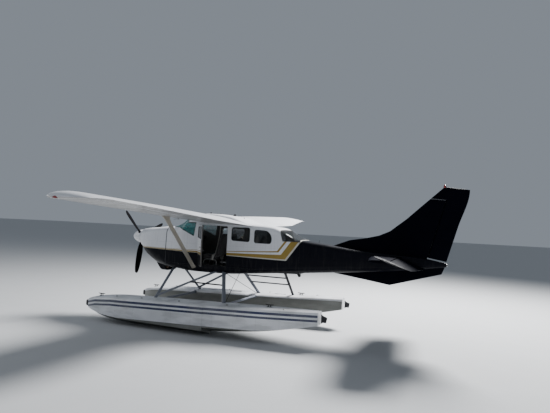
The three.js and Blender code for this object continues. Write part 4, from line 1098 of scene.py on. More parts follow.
def wingRows(span):
    # straight between the table's rows; beyond the last, the tip's edges and thickness draw in with
    # powers of the distance along it
    table = np.array(wing["rows"])
    lead, chord, height, twist, full = (np.interp(span, table[:, 0], table[:, i]) for i in range(1, 6))
    v = np.clip((span - table[-1, 0]) / (wing["tip"] - table[-1, 0]), 0, 1)
    trail = lead + chord - wing["tipTrail"] * v**4
    lead = lead + wing["tipLead"] * v**4
    full = full * np.sqrt(np.maximum(1 - v**3, 0))
    return lead, trail, height - wing["tipDrop"] * v**3, twist - wing["tipTwist"] * v, full


def beads(span, start, end):
    # ridges at an even pitch, each a bell curve, none at the two ends
    spot = (span - start) % wing["beadPitch"] - wing["beadPitch"] / 2
    fade = np.clip(np.minimum(span - start, end - span) / wing["beadFade"], 0, 1)
    return wing["beadHeight"] * np.exp(-((spot / wing["beadWidth"]) ** 2)) * fade


def ridgeWindow(f, front, behind, end, run):
    # ridges fade in behind the front cut and out before the trailing edge, each over a run
    return np.clip((f - front - behind) / run, 0, 1) * np.clip((end - f) / run, 0, 1)


def wingSections(span, rear=1.0, frontUpper=0.0, frontLower=0.0, steps=31, ridge=0.0):
    # the four-digit aerofoil from the upper trailing edge round the nose to the lower one: the
    # fraction of the chord is the square of the step, held between the front and rear cuts
    lead, trail, height, twist, full = (v[:, None] for v in wingRows(span))
    s = np.linspace(-1, 1, 2 * steps - 1)[None]
    rear, frontUpper, frontLower, ridge = (np.reshape(v, (-1, 1)) for v in (rear, frontUpper, frontLower, ridge))
    f = np.clip(s * s, np.where(s < 0, frontUpper, frontLower), rear)
    half = 0.2969 * np.sqrt(f) - 0.126 * f - 0.3516 * f**2 + 0.2843 * f**3 - 0.1015 * f**4
    half = 5 * wing["thickness"] * half
    m, p = wing["camber"], wing["camberAt"]
    line = np.where(f < p, m / p**2 * (2 * p * f - f * f), m / (1 - p) ** 2 * (1 - 2 * p + 2 * p * f - f * f))
    chord = trail - lead
    up = (line - np.sign(s) * half) * chord * full - np.sign(s) * ridge * ridgeWindow(f, frontUpper, *wing["ridge"])
    x = (f - 0.25) * chord
    cosine, sine = np.cos(np.radians(twist)), np.sin(np.radians(twist))
    return grid(lead + 0.25 * chord + x * cosine + up * sine, span[:, None], height - x * sine + up * cosine)


def chordShare(span, part):
    # the fraction of the chord at which a control surface's hinge line lies, by undoing the twist
    lead, trail, height, twist, _ = wingRows(span)
    aft = np.interp(span, part["span"], part["hinge"]) - lead - 0.25 * (trail - lead)
    up = np.interp(span, part["span"], part["hingeHeight"]) - height
    angle = np.radians(twist)
    return 0.25 + (aft * np.cos(angle) - up * np.sin(angle)) / (trail - lead)


def towardsTip(start, tip, steps):
    # stations that close up towards the tip by the sine's quarter wave
    return tip - (tip - start) * (1 - np.sin(np.linspace(0, quarter, steps)))


def wingShape():
    # stretch by stretch along the span, each cut short by the control surface behind it
    flap, aileron, gap = wing["flap"], wing["aileron"], wing["gap"]
    edges = [wing["rows"][0][0], flap["span"][0] - gap, flap["span"][1] + gap, aileron["span"][0] - gap,
             aileron["span"][1] + gap]
    stretches = zip((4, 40, 3, 40), (None, flap, None, aileron))
    runs = [(np.linspace(*edges[i:i + 2], count), part) for i, (count, part) in enumerate(stretches)]
    sections = []
    for span, part in [*runs, (towardsTip(edges[4], wing["tip"], 16), None)]:
        sections.append(wingSections(span, 1.0 if part is None else chordShare(span, part) - wing["cut"]))
    return gridShape(np.concatenate(sections))


addPair("wingSkin", wingShape(), wingPaint, stands="wing", slot="white_paint", crease=40)
for name in ("flap", "aileron"):
    part = wing[name]
    span = np.linspace(*part["span"], wing["partSections"])
    front = chordShare(span, part) + part["setBack"]
    lower = front + math.tan(math.radians(part["bevel"])) * wing["noseDepth"]
    shape = gridShape(wingSections(span, 1.0, front, lower, 21, beads(span, *part["span"])))
    addPair(name + "Skin", shape, wingPaint, name, name, "white_paint", crease=50)
print("wings ready")

# Wing struts: a teardrop section from the fuselage to the wing
strut = {
    "top": (2.611, 2.600, 0.572), "foot": (2.236, 0.522, -0.713), "size": (0.118, 0.050), "cuffShare": 0.13,
    "slack": 1.06, "flare": 2.3, "cuffThickness": 1.25, "footCuff": 0.09,
}
sleeve = {"slack": 1.03, "swell": 1.22}


def strutShape(start, end, size):
    return carried(np.linspace(start, end, 12), teardrop(*size), aftward)


def cuffShape(start, end, share, size):
    # a sleeve round one end of a strut, swelling towards that end with the square of the distance
    s = np.linspace(0, 1, 8)
    scale = sleeve["slack"] + (sleeve["swell"] - sleeve["slack"]) * (1 - s) ** 2
    return carried(between(start, end, share * s), teardrop(*size), aftward, scale=scale)


def flaredCuff():
    # a fairing at the wing whose chord grows with the square of the distance up the last stretch,
    # about the strut's front third, and whose thickness stays
    s = np.linspace(0, 1, 14)[:, None]
    x, y, z = between(strut["top"], strut["foot"], strut["cuffShare"] * s).T[:, :, None]
    section, (chord, thickness) = teardrop(1.0, 1.0), strut["size"]
    chord = chord * (strut["slack"] + (strut["flare"] - strut["slack"]) * (1 - s) ** 2)
    return gridShape(grid(x + section[:, 0] * chord, y + section[:, 1] * thickness * strut["cuffThickness"], z))


wingStrut = joined(
    strutShape(strut["foot"], strut["top"], strut["size"]),
    cuffShape(strut["foot"], strut["top"], strut["footCuff"], strut["size"]),
    flaredCuff(),
)
addPair("wingStrut", wingStrut, look["wingStrutPaint"], stands="wing_strut", slot="cream_paint")

# Tail surfaces: half thickness as a share of the greatest, against the root of the chord fraction
tailProfile = [[0, 0], [0.173, 0.60], [0.346, 0.90], [0.592, 1.0], [0.806, 0.75], [1.0, 0.06]]
tailplane = {
    "rows": [[0.04, 6.54, 7.80, 0.046], [1.88, 6.79, 7.61, 0.026], [1.98, 6.88, 7.59, 0.010]],
    "level": -0.140, "hinge": 7.175, "droop": 18, "root": 0.176, "tube": 0.026, "tubeBehind": 0.020, "tubeReach": 0.24,
    "bevel": 0.51, "tip": 1.98, "rib": 1.840, "horn": 6.862, "hornGap": 0.006, "start": 0.10, "overlap": 0.01,
    "cut": 0.0003, "ridge": (0.05, 0.97, 0.05),
}
# Columns: height, leading edge, trailing edge, half thickness
finRows = [[-0.260, 6.320, 8.145, 0.060], [0.615, 7.155, 8.388, 0.048], [1.440, 8.020, 8.610, 0.032],
           [1.505, 8.090, 8.610, 0.016]]
rudder = {
    "hingeLow": (7.768, -0.110), "hingeHigh": (8.212, 1.520), "hornGap": 0.008, "overlap": 0.001, "cut": 0.0004,
    "foot": [[7.500, -0.040], [7.700, -0.064], [8.800, -0.250]], "finFoot": [[6.000, -0.260], [9.000, -0.260]],
    "horn": [[7.500, 1.251], [8.207, 1.203], [8.800, 1.163]], "top": [[8.000, 1.512], [8.085, 1.506], [8.700, 1.440]],
    "beadEnd": 1.40, "evenTo": 0.86, "roundFrom": 0.88, "roundLength": 0.12, "thinnest": 0.002, "columns": 41,
}


def tailHalf(s):
    return smoothThrough(tailProfile, np.abs(s).ravel())[:, 0].reshape(np.shape(s))


def evenSections(lead, trail, half, front, rear, ridge=0.0, bevel=0.0):
    # a symmetrical section between two cuts: where each point lies aft, and its signed half
    # thickness, the nose of a control surface set back by its bevel except on its middle line
    lead, trail, half, front, rear, ridge = (np.reshape(v, (-1, 1)) for v in (lead, trail, half, front, rear, ridge))
    s = np.linspace(-1, 1, 41)[None]
    chord = trail - lead
    lowShare, highShare = (front - lead) / chord, (rear - lead) / chord
    setBack = np.where(s == 0, 0, bevel * half * tailHalf(np.sqrt(np.clip(lowShare, 0, 1))) / chord)
    f = np.clip(s * s, np.maximum(lowShare + setBack, 0), np.minimum(highShare, 1))
    thick = half * tailHalf(np.sqrt(f)) + ridge * ridgeWindow(f, lowShare, *tailplane["ridge"])
    return lead + f * chord, -np.sign(s) * thick


def tailplaneSections(span, front=0.0, rear=math.inf, ridge=0.0, bevel=0.0):
    lead, trail, half = smoothThrough(tailplane["rows"], span).T
    x, z = evenSections(lead, trail, half, np.maximum(front, lead), np.minimum(rear, trail), ridge, bevel)
    return grid(x, span[:, None], z + tailplane["level"])


def hornSections(span):
    # the tip beside the stabilizer's last rib, a whole section of its own from the horn's front,
    # thinning out by the root of one less the fourth power of the way along it
    lead, trail, half = smoothThrough(tailplane["rows"], span).T
    lead = np.maximum(lead, tailplane["horn"])
    tipward = np.clip((span - span[0]) / (span[-1] - span[0]), 0, 1)
    x, z = evenSections(lead, trail, half * np.sqrt(1.02 - tipward**4), lead, trail)
    return grid(x, span[:, None], z + tailplane["level"])


rib, root, level, hinge = (tailplane[k] for k in ("rib", "root", "level", "hinge"))
stabilizer = tailplaneSections(np.linspace(tailplane["start"], rib, 44), 0.0, hinge - tailplane["cut"])
addPair("stabilizerSkin", gridShape(stabilizer), navyPaint, stands="stabilizer", slot="navy_paint")
hornStart = rib + tailplane["hornGap"]
elevatorSpan = np.linspace(root, hornStart + tailplane["overlap"], 200)
elevatorMain = tailplaneSections(
    elevatorSpan, hinge, ridge=beads(elevatorSpan, root, rib), bevel=tailplane["bevel"])
elevatorHorn = hornSections(towardsTip(hornStart, tailplane["tip"], 12))
elevatorHalf = joined(gridShape(elevatorMain), gridShape(elevatorHorn))
tubeAft, reach = hinge + tailplane["tubeBehind"], tailplane["tubeReach"]
elevatorTube = rod((tubeAft, -reach, level), (tubeAft, reach, level), tailplane["tube"], 16, upward)
elevatorShape = turnedAbout(joined(elevatorHalf, mirrored(elevatorHalf), elevatorTube), "Y",
                            math.radians(tailplane["droop"]), (hinge, 0, level))
addPiece("elevatorSkin", elevatorShape, navyPaint, "elevator", "elevator", "navy_paint", crease=50)


def uprightSections(k, foot, top, part):
    # rows up the fin, each a mix of the foot line and the top line, so a row's heights and its
    # edges are found from each other in three rounds; the horn's top thins out by the root of one
    # less the fourth power of the way up its last stretch
    k, foot, top = k[:, None], np.array(foot), np.array(top)
    hingeLow, hingeHigh = rudder["hingeLow"], rudder["hingeHigh"]
    slope = (hingeHigh[0] - hingeLow[0]) / (hingeHigh[1] - hingeLow[1])
    s = np.linspace(-1, 1, rudder["columns"])[None]
    x = np.full((len(k), rudder["columns"]), 8.0)
    for _ in range(3):
        height = np.interp(x, *foot.T) * (1 - k) + np.interp(x, *top.T) * k
        held = np.clip(height.ravel(), finRows[0][0], finRows[-1][0])
        lead, trail, half = smoothThrough(finRows, held).T.reshape(3, *height.shape)
        share = (hingeLow[0] + (height - hingeLow[1]) * slope - lead) / (trail - lead)
        low, high = {"fin": (0.0, share - rudder["cut"]), "rudder": (share, 1.0), "horn": (0.0, 1.0)}[part]
        setBack = np.where(s == 0, 0, tailplane["bevel"] * half / (trail - lead)) if part == "rudder" else 0.0
        f = np.clip(s * s, low + setBack, high)
        x = lead + f * (trail - lead)
    ridge = 0.0 if part == "fin" else beads(height[:, :1], 0.0, rudder["beadEnd"])
    ends = 1.0
    if part == "horn":
        rise = np.clip((k - rudder["roundFrom"]) / rudder["roundLength"], 0, 1)
        ends = np.sqrt(np.clip(1 - rise**4, rudder["thinnest"], 1))
    thick = half * tailHalf(np.sqrt(f)) * ends + ridge * ridgeWindow(f, share, *tailplane["ridge"])
    return grid(x, -np.sign(s) * thick, height)


hornLine = np.array(rudder["horn"])
hornFoot = hornLine + (0, rudder["hornGap"])
roundRows = rudder["roundFrom"] + rudder["roundLength"] * np.sin(np.linspace(0, quarter, 8))
hornRows = np.concatenate([np.linspace(0, rudder["evenTo"], 30), roundRows])
rudderFoot = uprightSections(np.linspace(0, 1, 160), rudder["foot"], hornFoot + (0, rudder["overlap"]), "rudder")
rudderHorn = uprightSections(hornRows, hornFoot, rudder["top"], "horn")
addPiece("rudderSkin", joined(gridShape(rudderFoot), gridShape(rudderHorn)), navyPaint, "rudder", "rudder",
         "navy_paint", crease=50)

strake = {
    "edge": [[5.590, 0.040], [6.034, 0.214], [6.419, 0.284], [6.700, 0.355], [6.939, 0.464], [7.300, 0.760]],
    "edgeHalf": 0.007, "backHalf": 0.036, "overlap": 0.06, "nose": 0.02,
}


def strakeShape():
    # level rows from the strake's own edge to just behind the fin's nose, the half thickness growing
    # evenly from one to the other, closed round the edge by a half circle
    edge, fin = np.array(strake["edge"]), np.array(finRows)
    z = np.concatenate([np.linspace(-0.10, 0.03, 4), np.linspace(0.045, edge[-1, 1] - 0.004, 60)])
    front = np.interp(np.maximum(z, edge[0, 1]), edge[:, 1], edge[:, 0])
    back = np.maximum(np.interp(z, fin[:, 0], fin[:, 1]) + strake["overlap"], front + 0.01)
    u = np.concatenate([[0.0, 0.002, 0.008, strake["nose"]], np.linspace(0.05, 1, 18)])
    sign = np.concatenate([np.ones(len(u)), -np.ones(len(u) - 1)])
    u = np.concatenate([u[::-1], u[1:]])
    blunt = np.sqrt(np.clip(u / strake["nose"], 0, 1))
    half = (strake["edgeHalf"] + (strake["backHalf"] - strake["edgeHalf"]) * u) * blunt * sign
    return gridShape(grid(front[:, None] * (1 - u) + back[:, None] * u, half, z[:, None]))


finShape = gridShape(uprightSections(np.linspace(0, 1, 60), rudder["finFoot"], hornLine, "fin"))
addPiece("finSkin", joined(finShape, strakeShape()), navyPaint, stands="fin", slot="navy_paint")
ventral = {
    "edge": [[5.560, -0.560], [6.400, -0.672], [6.978, -0.755], [7.500, -0.600], [8.085, -0.425], [8.150, -0.262]],
    "half": 0.014, "inside": 0.05, "least": 0.004, "beforeLast": 8.12,
}


def ventralShape():
    # the lower edge's line up to inside the tailcone, with a rounded lens of a section
    start, low, end, last = (ventral["edge"][i][0] for i in (0, 2, 4, 5))
    x = np.concatenate([np.linspace(start, low, 30), np.linspace(low, end, 24)[1:], [ventral["beforeLast"], last]])
    edge = np.interp(x, *np.array(ventral["edge"]).T)
    belly = smoothThrough(fuselageRows, x)[:, 1]
    top = np.maximum(belly + ventral["inside"], edge + ventral["least"])
    angle = np.linspace(0, 2 * math.pi, 28, endpoint=False)
    v, thick = (1 - np.cos(angle)) / 2, np.sign(np.sin(angle)) * np.abs(np.sin(angle)) ** 0.5 * ventral["half"]
    return gridShape(grid(x[:, None], thick, edge[:, None] * (1 - v) + top[:, None] * v))


addPiece("ventralFin", ventralShape(), navyPaint, stands="ventral_fin", slot="navy_paint")
print("tail ready")

# Floats. Columns: station, half beam, deck, chine, keel
floats = {
    "fore": [
        [-0.345, 0.055, -1.650, -1.765, -1.795], [-0.240, 0.165, -1.590, -1.800, -1.890],
        [0.060, 0.280, -1.520, -1.860, -2.005], [0.560, 0.355, -1.472, -1.915, -2.072],
        [1.150, 0.380, -1.452, -1.945, -2.100], [3.100, 0.380, -1.400, -1.965, -2.100],
    ],
    "aft": [
        [3.000, 0.374, -1.405, -1.905, -2.045], [4.300, 0.330, -1.358, -1.825, -1.905],
        [5.300, 0.225, -1.328, -1.675, -1.710], [5.700, 0.160, -1.318, -1.588, -1.606],
    ],
    "centre": 1.200, "deckCrown": 0.010, "edge": (0.28, 0.24), "hollow": 0.10,
    "bow": (0.6, 14, 1.6), "foreStations": (0.30, 3.10, 50), "aftStations": (3.0, 5.7, 48),
    "stripes": ((0.060, 0.113), (0.156, 0.204)), "outside": 0.03, "inside": -0.10, "bareBelow": 0.06,
    "waterline": 0.47, "transom": 0.006, "navy": (0.012, 0.022, 0.085, 1), "bare": (0.17, 0.175, 0.160, 1),
    "stain": (0.30, 0.30, 0.29, 1),
}
centre = floats["centre"]
deckRows = np.array([row[:1] + row[2:3] for row in floats["fore"][:-1] + floats["aft"][1:]])


def hullSections(table, stations):
    # half a section by parts: crowned deck, round deck edge, side, chine, hollow bottom, keel
    half, deck, chine, keel = (v[:, None] for v in smoothThrough(table, stations).T)
    depth, rise = deck - chine, chine - keel
    edge = np.minimum(half * floats["edge"][0], depth * floats["edge"][1])
    u = np.clip(np.linspace(0, 4, 33)[None] - np.arange(4)[:, None], 0, 1)
    arc = u[1] * math.pi / 2
    y = (half - edge) * u[0] + edge * np.sin(arc) - half * u[3]
    z = deck + floats["deckCrown"] * (1 - u[0] ** 2) - edge * (1 - np.cos(arc)) - (depth - edge) * u[2] - rise * u[3]
    z += rise * floats["hollow"] * np.sin(math.pi * u[3])
    points = grid(stations[:, None], y, z)
    port = points[:, -2:0:-1] * (1, -1, 1)
    return np.concatenate([points, port], 1) + (0, centre, 0)


def floatFinish():
    # white, with two navy stripes at set depths below the deck on the outer side, and weathered
    # aluminium inside and below; the deck's height is a ramp for each stretch of its table, added up
    material, shader, place = startFinish("floatPaint", {"Coat Weight": 0.2, "Coat Roughness": 0.15})
    x, y, z = splitAxes(wire(place.id_data, "Mapping", {"Vector": place, "Location": tuple(-datum)}))
    out = calc("SUBTRACT", calc("ABSOLUTE", y), centre)
    height = float(deckRows[0][1])
    for (start, low), (end, high) in zip(deckRows[:-1].tolist(), deckRows[1:].tolist()):
        height = calc("ADD", spread(x, start, end, 0.0, high - low), height)
    depth = calc("SUBTRACT", height, z)
    color = white
    ahead = calc("LESS_THAN", x, floats["aft"][-1][0] - floats["transom"])
    outside = calc("MULTIPLY", calc("GREATER_THAN", out, floats["outside"]), ahead)
    for low, high in floats["stripes"]:
        band = calc("MULTIPLY", calc("GREATER_THAN", depth, low), calc("LESS_THAN", depth, high))
        color = blendColor(calc("MULTIPLY", band, outside), color, floats["navy"])
    bare = calc("MULTIPLY", calc("LESS_THAN", out, floats["inside"]), calc("GREATER_THAN", depth, floats["bareBelow"]))
    worn = calc("MAXIMUM", calc("MULTIPLY", bare, ahead), calc("GREATER_THAN", depth, floats["waterline"]))
    color = blendColor(worn, color, floats["bare"])
    stain = spread(noise(place, 2.2, 6, (1, 1, 4)), 0.42, 0.62)
    color = blendColor(calc("MULTIPLY", stain, 0.35), color, floats["stain"])
    feed(shader, "Metallic", calc("MULTIPLY", worn, 0.25))
    finishOff(shader, place, color, 0.38, 0.12, 0.3, 0.2, 1, rivets["float"])
    return material


floatPaint = floatFinish()
bowLength, bowSteps, bowPower = floats["bow"]
bow = floats["fore"][0][0] + bowLength * np.linspace(0, 1, bowSteps) ** bowPower
foreHull = gridShape(hullSections(floats["fore"], np.concatenate([bow, np.linspace(*floats["foreStations"])])))
aftHull = gridShape(hullSections(floats["aft"], np.linspace(*floats["aftStations"])))
addPair("floatHull", joined(foreHull, aftHull), floatPaint, stands="float", slot="white_paint", crease=24)
bumper = {"station": -0.262, "length": 0.256, "width": 0.310, "span": (-1.800, -1.628), "steps": 14}
heights = np.linspace(*bumper["span"], bumper["steps"])
bumperPath = grid(bumper["station"], centre, heights)
bumperEnds = np.sqrt(1.02 - (2 * (heights - heights.mean()) / np.ptp(heights)) ** 6)
addPair("bowBumper", carried(bumperPath, circle(bumper["length"], 28, bumper["width"]), aftward, scale=bumperEnds),
        rubber)
print("floats ready")

# Float gear, as in the solids: streamlined struts and two spreader bars. The flange's numbers are
# a distance along the bar, and a share of its width
gear = {
    "front": {"top": (1.469, 0.169, -0.690), "foot": (1.546, 1.156, -1.470), "size": (0.080, 0.038)},
    "rear": {"top": (3.060, 0.530, -0.690), "foot": (3.395, 1.135, -1.440), "size": (0.095, 0.044)},
    "brace": {"top": (2.950, 0.530, -0.690), "foot": (1.5375, 1.0472, -1.384), "size": (0.062, 0.028)},
    "cuffs": (0.09, 0.06), "spreaders": [[1.546, -1.500], [3.365, -1.443]], "spreader": 0.060, "reach": 0.86,
    "flange": [[0, 0], [0, 0.85], [0.012, 0.85], [0.03, 0.58], [0.03, 0]], "flangeSetBack": 0.02,
}
for name, node in (("front", "front_strut"), ("rear", "rear_strut"), ("brace", "diagonal_brace")):
    top, foot, size = gear[name].values()
    cuffs = [cuffShape(foot, top, gear["cuffs"][0], size), cuffShape(top, foot, gear["cuffs"][1], size)]
    addPair(name + "FloatStrut", joined(strutShape(foot, top, size), *cuffs), look["strutShadePaint"],
            stands=node, slot="cream_paint")
reach, wide = gear["reach"], gear["spreader"]
flange = [[run, wide * share] for run, share in gear["flange"]]
for name, (x, z) in zip(("Front", "Rear"), gear["spreaders"]):
    collars = [lathe(flange, 20, (0, -s, 0), (x, s * (reach - gear["flangeSetBack"]), z)) for s in (-1, 1)]
    bar = carried([(x, -reach, z), (x, 0, z), (x, reach, z)], circle(wide, 20), aftward)
    addPiece("spreader" + name, joined(bar, *collars), look["strutShadePaint"],
             stands="spreader_" + name.lower(), slot="bare_steel")

# Float fittings: cleats, hatches and pump caps on the decks, a spray rail along each chine.
# Profiles are [distance up, radius]
fittings = {
    "cleats": (0.03, 4.552), "hatches": (2.02, 2.72, 4.00), "caps": (0.62, 1.34, 2.37, 3.60, 4.95), "rail": 0.016,
    "deckLift": 0.010, "cleatHalf": 0.095, "cleatHeight": 0.046, "cleatRise": 0.010, "cleatBar": 0.026,
    "cleatThin": 0.45, "post": [[0, 0], [0, 0.015], [0.02, 0.010], [0.046, 0.010], [0.046, 0]],
    "postsAt": (-0.028, 0.028), "postLift": 0.004,
    "cleatBase": ((-0.060, -0.022, -0.004), (0.060, 0.022, 0.008), 0.005),
    "hatchHalf": 0.16, "plate": ((-0.11, -0.004), (0.11, 0.007)), "plateRadius": 0.003,
    "screw": [[0, 0], [0, 0.012], [0.006, 0.011], [0.008, 0]], "screwsAt": (0.13, 0.08), "screwLift": 0.014,
    "cap": [[-0.01, 0], [-0.01, 0.026], [0.010, 0.026], [0.014, 0.020], [0.014, 0.008], [0.022, 0.006], [0.022, 0]],
    "capOut": 0.17, "capLift": 0.004, "railSpan": (0.10, 3.04),
}


def onDeck(x, out=0.0, lift=fittings["deckLift"]):
    return np.array([x, centre + out, np.interp(x, *deckRows.T) + lift])


def cleat(at):
    # a base, two posts and a bar whose ends rise with the square of the distance from the middle
    # and thin out with its cube
    s = np.linspace(-1, 1, 13)
    run = np.linspace(-fittings["cleatHalf"], fittings["cleatHalf"], 13)
    horn = np.column_stack([run, np.zeros(13), fittings["cleatHeight"] + fittings["cleatRise"] * s**2])
    bar = carried(horn, circle(fittings["cleatBar"], 10), starboard, scale=1 - fittings["cleatThin"] * np.abs(s) ** 3)
    posts = [lathe(fittings["post"], 12, upward, (x, 0, fittings["postLift"])) for x in fittings["postsAt"]]
    return moved(joined(bar, *posts, roundedBox(*fittings["cleatBase"])), at)


plate = rounded(rectangle(*fittings["plate"]), fittings["plateRadius"], 3)
hatches, (long, wide) = [], fittings["screwsAt"]
for x in fittings["hatches"]:
    line = np.array([onDeck(x + t) for t in np.linspace(-fittings["hatchHalf"], fittings["hatchHalf"], 9)])
    hatches.append(carried(line, plate, starboard))
    hatches += [lathe(fittings["screw"], 12, upward, onDeck(x + a, b, fittings["screwLift"]))
                for a in (-long, long) for b in (-wide, wide)]
caps = [lathe(fittings["cap"], 18, upward, onDeck(x, fittings["capOut"], fittings["capLift"]))
        for x in fittings["caps"]]
x = np.linspace(*fittings["railSpan"], 60)
half, _, chine, _ = smoothThrough(floats["fore"], x).T
chineRails = [carried(grid(x, centre + side * half, chine), circle(fittings["rail"], 8), starboard) for side in (-1, 1)]
addPair("floatCleats", joined(*[cleat(onDeck(x)) for x in fittings["cleats"]]), rubber)
addPair("floatHatches", joined(*hatches), floatPaint)
addPair("pumpCaps", joined(*caps), bareMetal)
addPair("chineRails", joined(*chineRails), floatPaint)
print("float fittings ready")

# Rigging and small fittings that stand out against the sky. The ferrules lie at shares of a wire
rigging = {
    "high": (3.06, 0.53, -0.72), "low": (3.395, 1.13, -1.44), "wire": 0.014, "apart": 0.012,
    "ferrule": 0.018, "ferrules": ((0.02, 0.075), (0.925, 0.98)),
}
wires = []
for side in (-1, 1):
    start = np.array(rigging["high"]) * (1, side, 1) + (side * rigging["apart"], 0, 0)
    end = np.array(rigging["low"]) * (1, -side, 1) + (side * rigging["apart"], 0, 0)
    wires.append(rod(start, end, rigging["wire"], 10))
    wires += [rod(*between(start, end, shares), rigging["ferrule"], 10) for shares in rigging["ferrules"]]
addPiece("braceWires", joined(*wires), rubber)


def fairedBlade(start, end, chord, thickness, taper=0.5):
    # a teardrop section that shrinks with the square of the distance up the blade
    s = np.linspace(0, 1, 8)
    return carried(between(start, end, s), teardrop(chord, thickness), aftward, scale=1 - (1 - taper) * s**2)


# Each stud is a profile of [distance along its axis, radius], the points round it, its axis and its place
studs = {
    "dome": ([[-0.02, 0], [-0.02, 0.045], [0.010, 0.042], [0.022, 0.024], [0.026, 0]], 20, upward, (2.645, 0, 0.680)),
    "knob": ([[-0.02, 0], [-0.02, 0.020], [0.03, 0.012], [0.045, 0]], 16, upward, (3.30, 0, 0.590)),
    "whipBase": ([[-0.02, 0], [-0.02, 0.014], [0.012, 0.012], [0.016, 0]], 14, upward, (5.28, 0, 0.088)),
    "probeBall": ([[-0.016, 0], [-0.012, 0.011], [0, 0.016], [0.012, 0.011], [0.016, 0]], 14, aftward,
                  (1.687, -0.50, 0.515)),
    "beacon": ([[-0.03, 0], [-0.03, 0.030], [0.012, 0.028], [0.034, 0.018], [0.045, 0]], 20, upward, (8.091, 0, 1.512)),
    "tipLight": ([[-0.05, 0], [-0.05, 0.018], [-0.02, 0.024], [0.02, 0.022], [0.045, 0.012], [0.052, 0]], 18,
                 (-1, 0, 0), (2.50, 5.445, 0.700)),
    "fuelCap": ([[-0.03, 0], [-0.03, 0.042], [0.004, 0.042], [0.008, 0.036], [0.008, 0.010], [0.016, 0.008],
                 [0.016, 0]], 24, (0.06, -0.043, 1), (2.62, 1.35, 0.668)),
}
stud = {name: lathe(*values) for name, values in studs.items()}
# Root, end, chord, thickness and the end's share of the chord, or for a rod its diameter and steps
antennas = {
    "roof": [((2.30, 0, 0.640), (2.365, 0, 0.725), 0.09, 0.016), ((3.00, 0, 0.630), (3.05, 0, 0.705), 0.09, 0.016)],
    "belly": ((4.790, 0, -0.625), (4.845, 0, -0.750), 0.10, 0.014, 0.6),
    "whip": ((5.28, 0, 0.08), (5.305, 0, 0.165), 0.006, 8),
    "probe": ((1.545, -0.50, 0.500), (1.687, -0.50, 0.515), 0.008, 8),
}
roofBlades = [fairedBlade(*values) for values in antennas["roof"]]
addPiece("roofAntennas", joined(*roofBlades, stud["dome"], stud["knob"]), panelBlack)
addPiece("bellyAntenna", fairedBlade(*antennas["belly"]), panelBlack)
addPiece("tailWhip", joined(rod(*antennas["whip"]), stud["whipBase"]), darkMetal)
addPiece("rootProbe", joined(rod(*antennas["probe"], starboard), stud["probeBall"]), darkMetal)
addPiece("finBeacon", stud["beacon"], look["redLens"], "rudder")
addPiece("portTipLight", mirrored(stud["tipLight"]), look["redLens"])
addPiece("starboardTipLight", stud["tipLight"], look["greenLens"])
addPair("fuelCap", stud["fuelCap"], bareMetal)
print("rigging ready")

# Propeller: a lathed spinner and three twisted blades. Columns of the blade: radius, chord,
# thickness, pitch in degrees
propeller = {
    "station": 0.270, "radius": 1.016, "root": 0.06, "phase": math.radians(50.2), "tip": 0.056,
    "spinner": [[0, 0], [0.004, 0.022], [0.012, 0.040], [0.032, 0.069], [0.060, 0.095], [0.095, 0.119], [0.130, 0.138],
                [0.170, 0.154], [0.210, 0.167], [0.250, 0.175], [0.290, 0.180], [0.334, 0.182], [0.340, 0.179],
                [0.340, 0]],
    "blade": [[0.06, 0.084, 0.084, 0], [0.17, 0.084, 0.082, 38], [0.22, 0.098, 0.060, 40], [0.28, 0.124, 0.042, 38],
              [0.45, 0.162, 0.027, 30], [0.62, 0.166, 0.021, 26], [0.76, 0.158, 0.017, 22], [0.90, 0.134, 0.012, 19],
              [0.97, 0.105, 0.010, 17], [1.00, 0.076, 0.008, 16], [1.016, 0.030, 0.006, 16]],
}


def bladeShape(angle):
    # ellipses along the blade, each turned by its pitch, then the blade turned to its place
    tip = propeller["radius"] - propeller["tip"] * (1 - np.sin(np.linspace(0.15, quarter, 9)))
    radius = np.concatenate([np.linspace(propeller["root"], 0.96, 46), tip])
    chord, thickness, pitch = smoothThrough(propeller["blade"], radius).T[:, :, None]
    around = np.linspace(0, 2 * math.pi, 28, endpoint=False)[None]
    cosine, sine = np.cos(np.radians(90 + pitch)), np.sin(np.radians(90 + pitch))
    a, b = np.cos(around) * chord / 2, np.sin(around) * thickness / 2
    points = grid(propeller["station"] + a * cosine + b * sine, a * sine - b * cosine, radius[:, None])
    return turnedAbout(gridShape(points), "X", angle)


addPiece("spinnerShell", lathe(propeller["spinner"], 48), look["whitePaint"], "propeller", "spinner", "white_paint")
for i in range(3):
    addPiece(f"propellerBlade{i + 1}", bladeShape(propeller["phase"] + i * 2 * math.pi / 3), look["bladePaint"],
             "propeller", f"propeller_blade_{i + 1}", "blade_black")
print("propeller ready")

# Nodes that keep their own mesh get a finish of their own
keptNodes = {
    "engine_block": darkMetal, "exhaust_pipe": look["exhaustMetal"], "firewall": darkMetal, "rear_bulkhead": livery,
    "instrument_panel": panelBlack, "boarding_step_left": darkMetal, "boarding_step_right": darkMetal,
    "water_rudder_left": darkMetal, "water_rudder_right": darkMetal,
}
for node, finish in keptNodes.items():
    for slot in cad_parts[node].material_slots:
        slot.material = finish

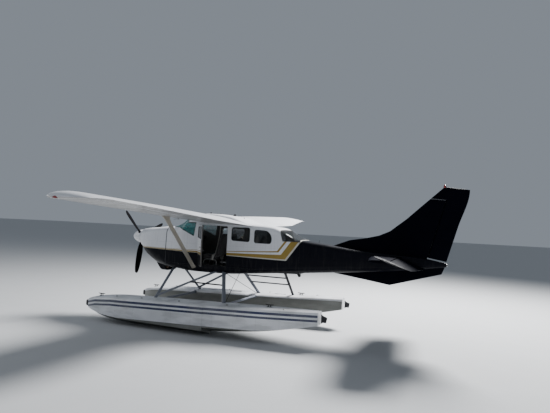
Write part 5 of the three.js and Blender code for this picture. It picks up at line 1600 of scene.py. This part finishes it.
# Studio: a pale floor, soft light and the photograph's camera
photo = {
    "width": 550, "focal": 479.3, "eye": (8.239, -11.196, 0.381), "yaw": -20.21, "pitch": 2.69, "roll": 2.98,
    "sensor": 36, "farthest": 1000,
}
studio = {
    "skyTone": (0.74, 0.83, 0.95, 1), "sky": 0.31, "floorReach": 300,
    # Columns: name, place, size, power
    "lights": [("keyLight", (5, 9, 13), 5, 9200), ("fillLight", (-6, -16, 8), 12, 120),
               ("noseLight", (-14, -4, 7), 8, 240)],
}


def setUp(name, data, axes, place):
    # a camera or a lamp at its place, its x, y and z axes the three columns
    holder = bpy.data.objects.new(name, data)
    matrix = np.eye(4)
    matrix[:3] = np.column_stack([*axes, place])
    holder.matrix_world = Matrix(matrix.tolist())
    bpy.context.scene.collection.objects.link(holder)
    return holder


def aimCamera():
    # ahead from yaw and pitch, right level with the ground, then both turned by the roll
    yaw, pitch, roll = (math.radians(photo[k]) for k in ("yaw", "pitch", "roll"))
    ahead = np.array([math.sin(yaw) * math.cos(pitch), math.cos(yaw) * math.cos(pitch), math.sin(pitch)])
    level = np.array([math.cos(yaw), -math.sin(yaw), 0])
    up = np.cross(level, ahead)
    right = level * math.cos(roll) + up * math.sin(roll)
    over = up * math.cos(roll) - level * math.sin(roll)
    data = bpy.data.cameras.new("photoCamera")
    data.sensor_width, data.clip_end = photo["sensor"], photo["farthest"]
    data.lens = data.sensor_width * photo["focal"] / photo["width"]
    bpy.context.scene.camera = setUp("photoCamera", data, (right, over, -ahead), photo["eye"] + datum)


def lightStudio():
    world = bpy.data.worlds.new("studioSky")
    world.use_nodes = True
    background = world.node_tree.nodes["Background"].inputs
    background["Color"].default_value = studio["skyTone"]
    background["Strength"].default_value = studio["sky"]
    bpy.context.scene.world = world
    for name, spot, size, power in studio["lights"]:
        data = bpy.data.lights.new(name, "AREA")
        data.shape, data.size, data.energy = "DISK", size, power
        ahead = unit(-np.array(spot, float))
        right = unit(np.cross(ahead, upward))
        setUp(name, data, (right, np.cross(right, ahead), -ahead), spot)


def layFloor():
    reach = studio["floorReach"]
    mesh = bpy.data.meshes.new("studioFloor")
    mesh.from_pydata([(x, y, 0) for x, y in rectangle((-reach, -reach), (reach, reach))], [], [(0, 1, 2, 3)])
    mesh.materials.append(look["floorTone"])
    ground = bpy.data.objects.new("studioFloor", mesh)
    bpy.context.scene.collection.objects.link(ground)


aimCamera()
lightStudio()
layFloor()
print("studio ready,", len(pieces), "pieces")
